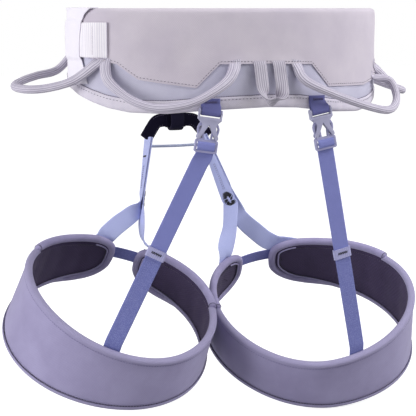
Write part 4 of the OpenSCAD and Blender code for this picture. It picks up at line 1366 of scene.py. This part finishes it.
def fabric(name, colour, shade, threads=1500.0, patch=28.0, amount=0.35, fuzz=0.12, depth=0.00008,
           rough=0.82, sheen=0.15, crease=0.0006):
    """Woven face cloth: plain weave over a slowly changing shade, with painted shade in the gaps between
    threads.
    """
    made, tree, shader, coords = start_material(name, rough, sheen)
    shade = paint(shade)
    cloth = cloth_shade(tree, coords, paint(colour), shade, patch, amount, fuzz)
    # The gap colour, a third of the way to the darker tone, is painted shade between the threads.
    weave = placed(tree, PLAIN_WEAVE, Map=coords["UV"], Threads=threads, Thread_Colour=cloth["Colour"],
                   Gap_Colour=blended(tree, 0.32, cloth["Colour"], shade))
    tree.links.new(weave["Colour"], shader["Base Color"])
    height = maths(tree, "ADD", maths(tree, "MULTIPLY", weave["Height"], depth),
                   maths(tree, "MULTIPLY", cloth["Crease"], crease))
    bumped(tree, shader, height, 1.0, 0.7)
    return made


def webbing(name, colour, groove_shade, ribs=600.0, twill=900.0, share=0.4, depth=0.00022, rough=0.68, sheen=0.1,
            fuzz=0.08, across=False, shine=0.3):
    """Woven strap: ribs along it, or across it, and a slanting twill over them; the groove colour is painted
    shade in the grooves and also the slow darker tone.
    """
    made, tree, shader, coords = start_material(name, rough, sheen, shine=shine)
    groove_shade = paint(groove_shade)
    cloth = cloth_shade(tree, coords, paint(colour), groove_shade, 60.0, 0.2, fuzz)
    lay = node(tree, "ShaderNodeMapping", Vector=coords["UV"], Rotation=(0, 0, math.pi / 2 if across else 0))
    # Groove colour: painted shade between the ribs.
    ribbed = placed(tree, WEBBING_RIBS, Map=lay.outputs[0], Ribs=ribs, Twill=twill, Twill_Share=share,
                    Rib_Colour=cloth["Colour"], Groove_Colour=groove_shade)
    relief(tree, shader, ribbed, depth)
    return made


def braided(name, colour, gap, strands, depth):
    """Braided cover of a round cord, with painted shade in the gaps between strands."""
    made, tree, shader, coords = start_material(name, 0.6, 0.1)
    gap = paint(gap)
    cloth = cloth_shade(tree, coords, paint(colour), gap, 50.0, 0.2, 0.08)
    plait = placed(tree, BRAID, Map=coords["UV"], Strands=strands, Strand_Colour=cloth["Colour"],
                   Gap_Colour=gap)
    relief(tree, shader, plait, depth)
    return made


def elastic_finish(name, colour, speck, groove_shade):
    """Elastic: close ribs with flecks of a lighter thread, and painted shade in the grooves between the ribs.
    """
    made, tree, shader, coords = start_material(name, 0.75, 0.1)
    stretch = node(tree, "ShaderNodeMapping", Vector=coords["UV"], Scale=(0.55, 1.3, 1.0))
    flecks = node(tree, "ShaderNodeTexVoronoi", Vector=stretch.outputs[0], Scale=1900.0).outputs["Color"]
    light = maths(tree, "GREATER_THAN", maths(tree, "FRACT", maths(tree, "MULTIPLY", flecks, 3.7)), 0.62)
    ribbed = placed(tree, WEBBING_RIBS, Map=coords["UV"], Ribs=900.0, Twill=500.0, Twill_Share=0.35,
                    Rib_Colour=blended(tree, light, paint(colour), paint(speck)),
                    Groove_Colour=paint(groove_shade))
    relief(tree, shader, ribbed, 0.0003)
    return made


def thread(name, colour):
    """Sewing thread: fine light and dark along it."""
    made, tree, shader, coords = start_material(name, 0.55, 0.1)
    colour = paint(colour)
    dark = [c * 0.6 for c in colour[:3]] + [1.0]
    noise = node(tree, "ShaderNodeTexNoise", Vector=coords["Object"], Scale=2500.0, Detail=2.0).outputs[0]
    tree.links.new(blended(tree, noise, dark, colour), shader["Base Color"])
    bumped(tree, shader, noise, 0.0002, 0.5)
    return made


def moulded_plastic(name, colour, shade):
    """Buckle plastic with a fine grain over a slowly changing shade."""
    made, tree, shader, coords = start_material(name, 0.42, shine=0.5)
    cloth = cloth_shade(tree, coords, paint(colour), paint(shade), 90.0, 0.4, 0.05)
    grain = node(tree, "ShaderNodeTexNoise", Vector=coords["Object"], Scale=3500.0, Detail=2.0).outputs[0]
    tree.links.new(cloth["Colour"], shader["Base Color"])
    tree.links.new(maths(tree, "MULTIPLY_ADD", grain, 0.15, 0.36), shader["Roughness"])
    bumped(tree, shader, grain, 0.00005, 0.4)
    return made


def brushed_metal(name, colour, shade):
    """Buckle metal: satin, with fine scratches along it."""
    made, tree, shader, coords = start_material(name, 0.35, metallic=1.0, shine=0.5)
    lines = node(tree, "ShaderNodeMapping", Vector=coords["Object"], Scale=(120.0, 120.0, 3500.0))
    noise = node(tree, "ShaderNodeTexNoise", Vector=lines.outputs[0], Scale=1.0, Detail=3.0).outputs[0]
    tree.links.new(blended(tree, noise, paint(shade), paint(colour)), shader["Base Color"])
    tree.links.new(maths(tree, "MULTIPLY_ADD", noise, 0.2, 0.28), shader["Roughness"])
    bumped(tree, shader, noise, 0.00003, 0.4)
    return made


def give(material, *made):
    for piece in made:
        piece.data.materials.clear()
        piece.data.materials.append(material)


# In the cloths, webbings, braids and elastics below, the darker colour is both a slow random darker tone and
# painted shade in the hollows between threads, ribs or strands.
LILAC_SHELL = fabric("Lilac shell cloth", (212, 204, 214), (178, 169, 187), threads=1100, patch=26,
                     amount=0.4)
LILAC_PANEL = fabric("Lilac panel cloth", (206, 204, 222), (163, 160, 186), threads=1100, patch=30,
                     amount=0.4)
PALE_TRIM = fabric("Pale trim cloth", (228, 222, 232), (190, 184, 205), threads=900, patch=60, amount=0.5,
                   crease=0.0016)
LEG_CLOTH = fabric("Violet leg cloth", (167, 161, 197), (122, 115, 151), threads=1000, patch=22, amount=0.45)
DARK_MESH = fabric("Dark mesh lining", (75, 63, 96), (36, 29, 51), threads=520, patch=40, amount=0.35,
                   fuzz=0.2, depth=0.0004, rough=0.9, sheen=0.05)
ROLL_CLOTH = fabric("Roll cloth", (170, 163, 201), (128, 121, 161), threads=1100, patch=70, amount=0.5,
                    crease=0.0014)
BINDING = webbing("Leg binding", (170, 164, 198), (132, 126, 162), ribs=900, twill=1100, share=0.3)
WHITE_WEB = webbing("White waist webbing", (253, 250, 254), (212, 206, 221), ribs=420, share=0.3, across=True)
KEEPER_KNIT = webbing("Keeper elastic", (250, 246, 253), (226, 221, 237), ribs=900)
DARK_WEB = webbing("Dark tie-in webbing", (20, 16, 40), (6, 5, 20), ribs=900, twill=1100, share=0.5,
                   rough=0.85, sheen=0.02, fuzz=0.02, shine=0.08)
BELAY_WEB = webbing("Belay webbing", (26, 22, 48), (8, 7, 24), ribs=700, share=0.5, rough=0.8, sheen=0.02,
                    fuzz=0.03, shine=0.12)
# Its bluer, darker groove colour is painted shade between the ribs.
RISER_WEB = webbing("Pale blue riser webbing", (203, 209, 247), (160, 168, 224), ribs=900, twill=1100,
                    share=0.5)
STRAP_WEB = webbing("Blue violet strap webbing", (137, 142, 204), (114, 119, 184), ribs=1100, twill=1300,
                    share=0.5)
TAB_WEB = webbing("Blue violet tab webbing", (110, 111, 167), (84, 86, 144), ribs=900, twill=1100, share=0.5)
SLEEVE_CLOTH = webbing("Sleeve tape", (182, 181, 219), (146, 145, 191), ribs=700)
REAR_ELASTIC = elastic_finish("Speckled elastic", (118, 124, 186), (142, 147, 202), (94, 99, 162))
FRONT_ELASTIC = elastic_finish("Front elastic", (128, 131, 198), (146, 150, 212), (102, 105, 172))
# Strongly darker groove colour: painted shade between the sheath's ribs.
GEAR_SHEATH = webbing("Gear loop sheath", (221, 216, 228), (140, 132, 158), ribs=500, twill=1500, share=0.1,
                      depth=0.0003)
# Darker groove colour: painted shade between the tape's ribs.
HAUL_TAPE = webbing("Haul loop tape", (204, 199, 209), (126, 119, 141), ribs=440, twill=1100, share=0.12)
LINK_ELASTIC = braided("Link cord braid", (196, 204, 230), (140, 150, 190), strands=900, depth=0.0002)
BUCKLE_PLASTIC = moulded_plastic("Grey lilac buckle plastic", (176, 175, 203), (140, 139, 170))
FRAME_PLASTIC = moulded_plastic("Violet frame plastic", (160, 159, 196), (132, 131, 174))
BUCKLE_METAL = brushed_metal("Brushed buckle metal", (196, 196, 208), (140, 140, 154))
DARK_THREAD = thread("Dark thread", (70, 62, 88))
VIOLET_THREAD = thread("Violet thread", (100, 94, 140))
PALE_THREAD = thread("Pale thread", (214, 204, 218))
BLACK_THREAD = thread("Black thread", (26, 24, 38))
SHADOW_THREAD = thread("Grey violet thread", (104, 96, 124))


# ---- The harness ----

def build_belt():
    pad, shell, panel, trim = belt_pad(), belt_shell(), belt_lower_panel(), belt_trim()
    give(DARK_MESH, pad)
    give(LILAC_SHELL, shell)
    give(LILAC_PANEL, panel)
    give(PALE_TRIM, trim)
    hem_row, trim_row, inner_row = belt_stitches()
    give(DARK_THREAD, hem_row)
    # trim_row holds the trim's stitches and the painted seam shadow along the top of its fold.
    give(SHADOW_THREAD, trim_row, inner_row)
    web = belt_webbing()
    tail, fold, tail_row = tail_strap()
    give(WHITE_WEB, web, tail, fold)
    give(PALE_THREAD, tail_row)
    keeper = strap_keeper()
    give(KEEPER_KNIT, keeper)
    buckle = moulded("waist_buckle_frame", "belt", 0.5)
    slider = moulded("waist_buckle_slider", "belt", 0.4)
    give(BUCKLE_METAL, buckle, slider)
    band, tacks = upper_tie_in()
    lower, block, rows = lower_tie_in()
    give(DARK_WEB, band, lower, block)
    give(BLACK_THREAD, tacks)
    give(SHADOW_THREAD, rows)
    cord = link_cord()
    give(LINK_ELASTIC, cord)
    for piece in (pad, shell, panel, trim, hem_row, trim_row, inner_row, web, tail, fold, tail_row, keeper,
                  band, tacks, lower, block, rows, cord):
        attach(piece, "belt")
    loop, loop_tacks = belay_loop()
    give(BELAY_WEB, loop)
    give(SHADOW_THREAD, loop_tacks)
    for key in GEAR_ROUTES:
        give(GEAR_SHEATH, gear_loop(key))
    give(HAUL_TAPE, haul_loop())


def build_leg(side):
    leg_pad(side)
    give(ROLL_CLOTH, *front_rolls(side))
    top = bound_edge(side, "rim_binding", ROLL_INNER_TO[side] - 1, ROLL_OUTER_FROM[side] + 1, 1)
    bottom = bound_edge(side, "hem_binding", PAD_START[side] + 24, PAD_END[side] - 24, -1)
    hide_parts(leg_name(side, "leg_top_binding"))
    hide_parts(leg_name(side, "leg_bottom_binding"))
    give(BINDING, top, bottom)
    hem_row, rim_row, lining_row = leg_stitches(side)
    # hem_row is stitching darkened so that it also serves as painted shadow above the hem binding.
    give(DARK_THREAD, hem_row)
    give(VIOLET_THREAD, rim_row)
    give(SHADOW_THREAD, lining_row)
    piping, piping_row = lining_piping(side)
    give(ROLL_CLOTH, piping)
    give(BLACK_THREAD, piping_row)
    give(BLACK_THREAD, leg_tacks(side))
    give(FRONT_ELASTIC, front_elastic(side))
    outer, rows = riser(side, "outer")
    inner, _ = riser(side, "inner")
    give(RISER_WEB, outer, inner)
    patch, line = riser_marks(side, rows)
    give(BLACK_THREAD, patch)
    give(VIOLET_THREAD, line)
    tab, tack = rear_tab(side)
    give(TAB_WEB, tab)
    give(VIOLET_THREAD, tack)
    give(BUCKLE_PLASTIC, moulded(leg_name(side, "buckle_female"), leg_name(side, "leg"), 0.45))
    give(FRAME_PLASTIC, moulded(leg_name(side, "buckle_male"), leg_name(side, "rear_strap"), 0.35))
    give(STRAP_WEB, rear_strap(side))
    sleeve, sleeve_tack = elastic_keeper(side)
    give(SLEEVE_CLOTH, sleeve)
    give(BLACK_THREAD, sleeve_tack)
    give(REAR_ELASTIC, rear_elastic(side))


build_belt()
build_leg(LEFT)
build_leg(RIGHT)


# ---- Floor, light and camera ----

def seen_directly(tree):
    """1 for rays that show the surroundings themselves, 0 for those that only light the harness."""
    path = node(tree, "ShaderNodeLightPath").outputs
    return maths(tree, "MAXIMUM", path["Is Camera Ray"],
                 maths(tree, "MAXIMUM", path["Is Glossy Ray"], path["Is Transmission Ray"]))


def studio():
    """White floor just under the harness, and a white world."""
    deselect_all()
    bpy.ops.mesh.primitive_plane_add(size=14, location=(0, 0, 0))
    floor = bpy.context.object
    floor.name = "studio_floor"
    for v in floor.data.vertices:
        v.co.z = cad_box[0][2] - 0.0015
    made = bpy.data.materials.new("White floor")
    made.use_nodes = True
    tree = made.node_tree
    shader = tree.nodes["Principled BSDF"].inputs
    shader["Base Color"].default_value = (0.4, 0.4, 0.41, 1)
    shader["Roughness"].default_value = 0.9
    shader["Emission Color"].default_value = (1, 1, 1, 1)
    tree.links.new(maths(tree, "MULTIPLY", seen_directly(tree), 0.84), shader["Emission Strength"])
    give(made, floor)
    world = bpy.data.worlds.new("Studio")
    bpy.context.scene.world = world
    world.use_nodes = True
    tree = world.node_tree
    back = tree.nodes["Background"].inputs
    back["Color"].default_value = (1, 1, 1, 1)
    tree.links.new(maths(tree, "MULTIPLY_ADD", seen_directly(tree), 0.65, 0.35), back["Strength"])


def lamp(name, place, target, size, power):
    """Square soft lamp that looks from its place at its target."""
    light = bpy.data.lights.new(name, "AREA")
    light.shape = "SQUARE"
    light.size = size
    light.energy = power
    holder = added(name, light)
    holder.location = place
    way = Vector(target) - Vector(place)
    holder.rotation_euler = way.to_track_quat("-Z", "Y").to_euler()


def camera():
    """Camera behind the harness, a little to its left and looking slightly down."""
    data = bpy.data.cameras.new("Camera")
    holder = added("Camera", data)
    holder.location = CAMERA_PLACE
    holder.rotation_euler = (math.pi / 2 - math.radians(CAMERA_DOWN), 0, math.radians(CAMERA_TURN))
    data.sensor_width = 36
    data.lens = 113.9
    data.shift_x = CAMERA_SHIFT
    data.clip_end = 50
    bpy.context.scene.camera = holder


studio()
lamp("Top softbox", (1.0, -0.8, 1.9), (0, 0, -0.1), 1.8, 30)
lamp("Left softbox", (-2.1, -0.25, 0.15), (0, 0, -0.3), 1.2, 33)
lamp("Right fill", (1.5, -1.0, 0.9), (0.1, 0, 0), 1.0, 20)
camera()
bpy.context.scene.view_settings.view_transform = "Standard"
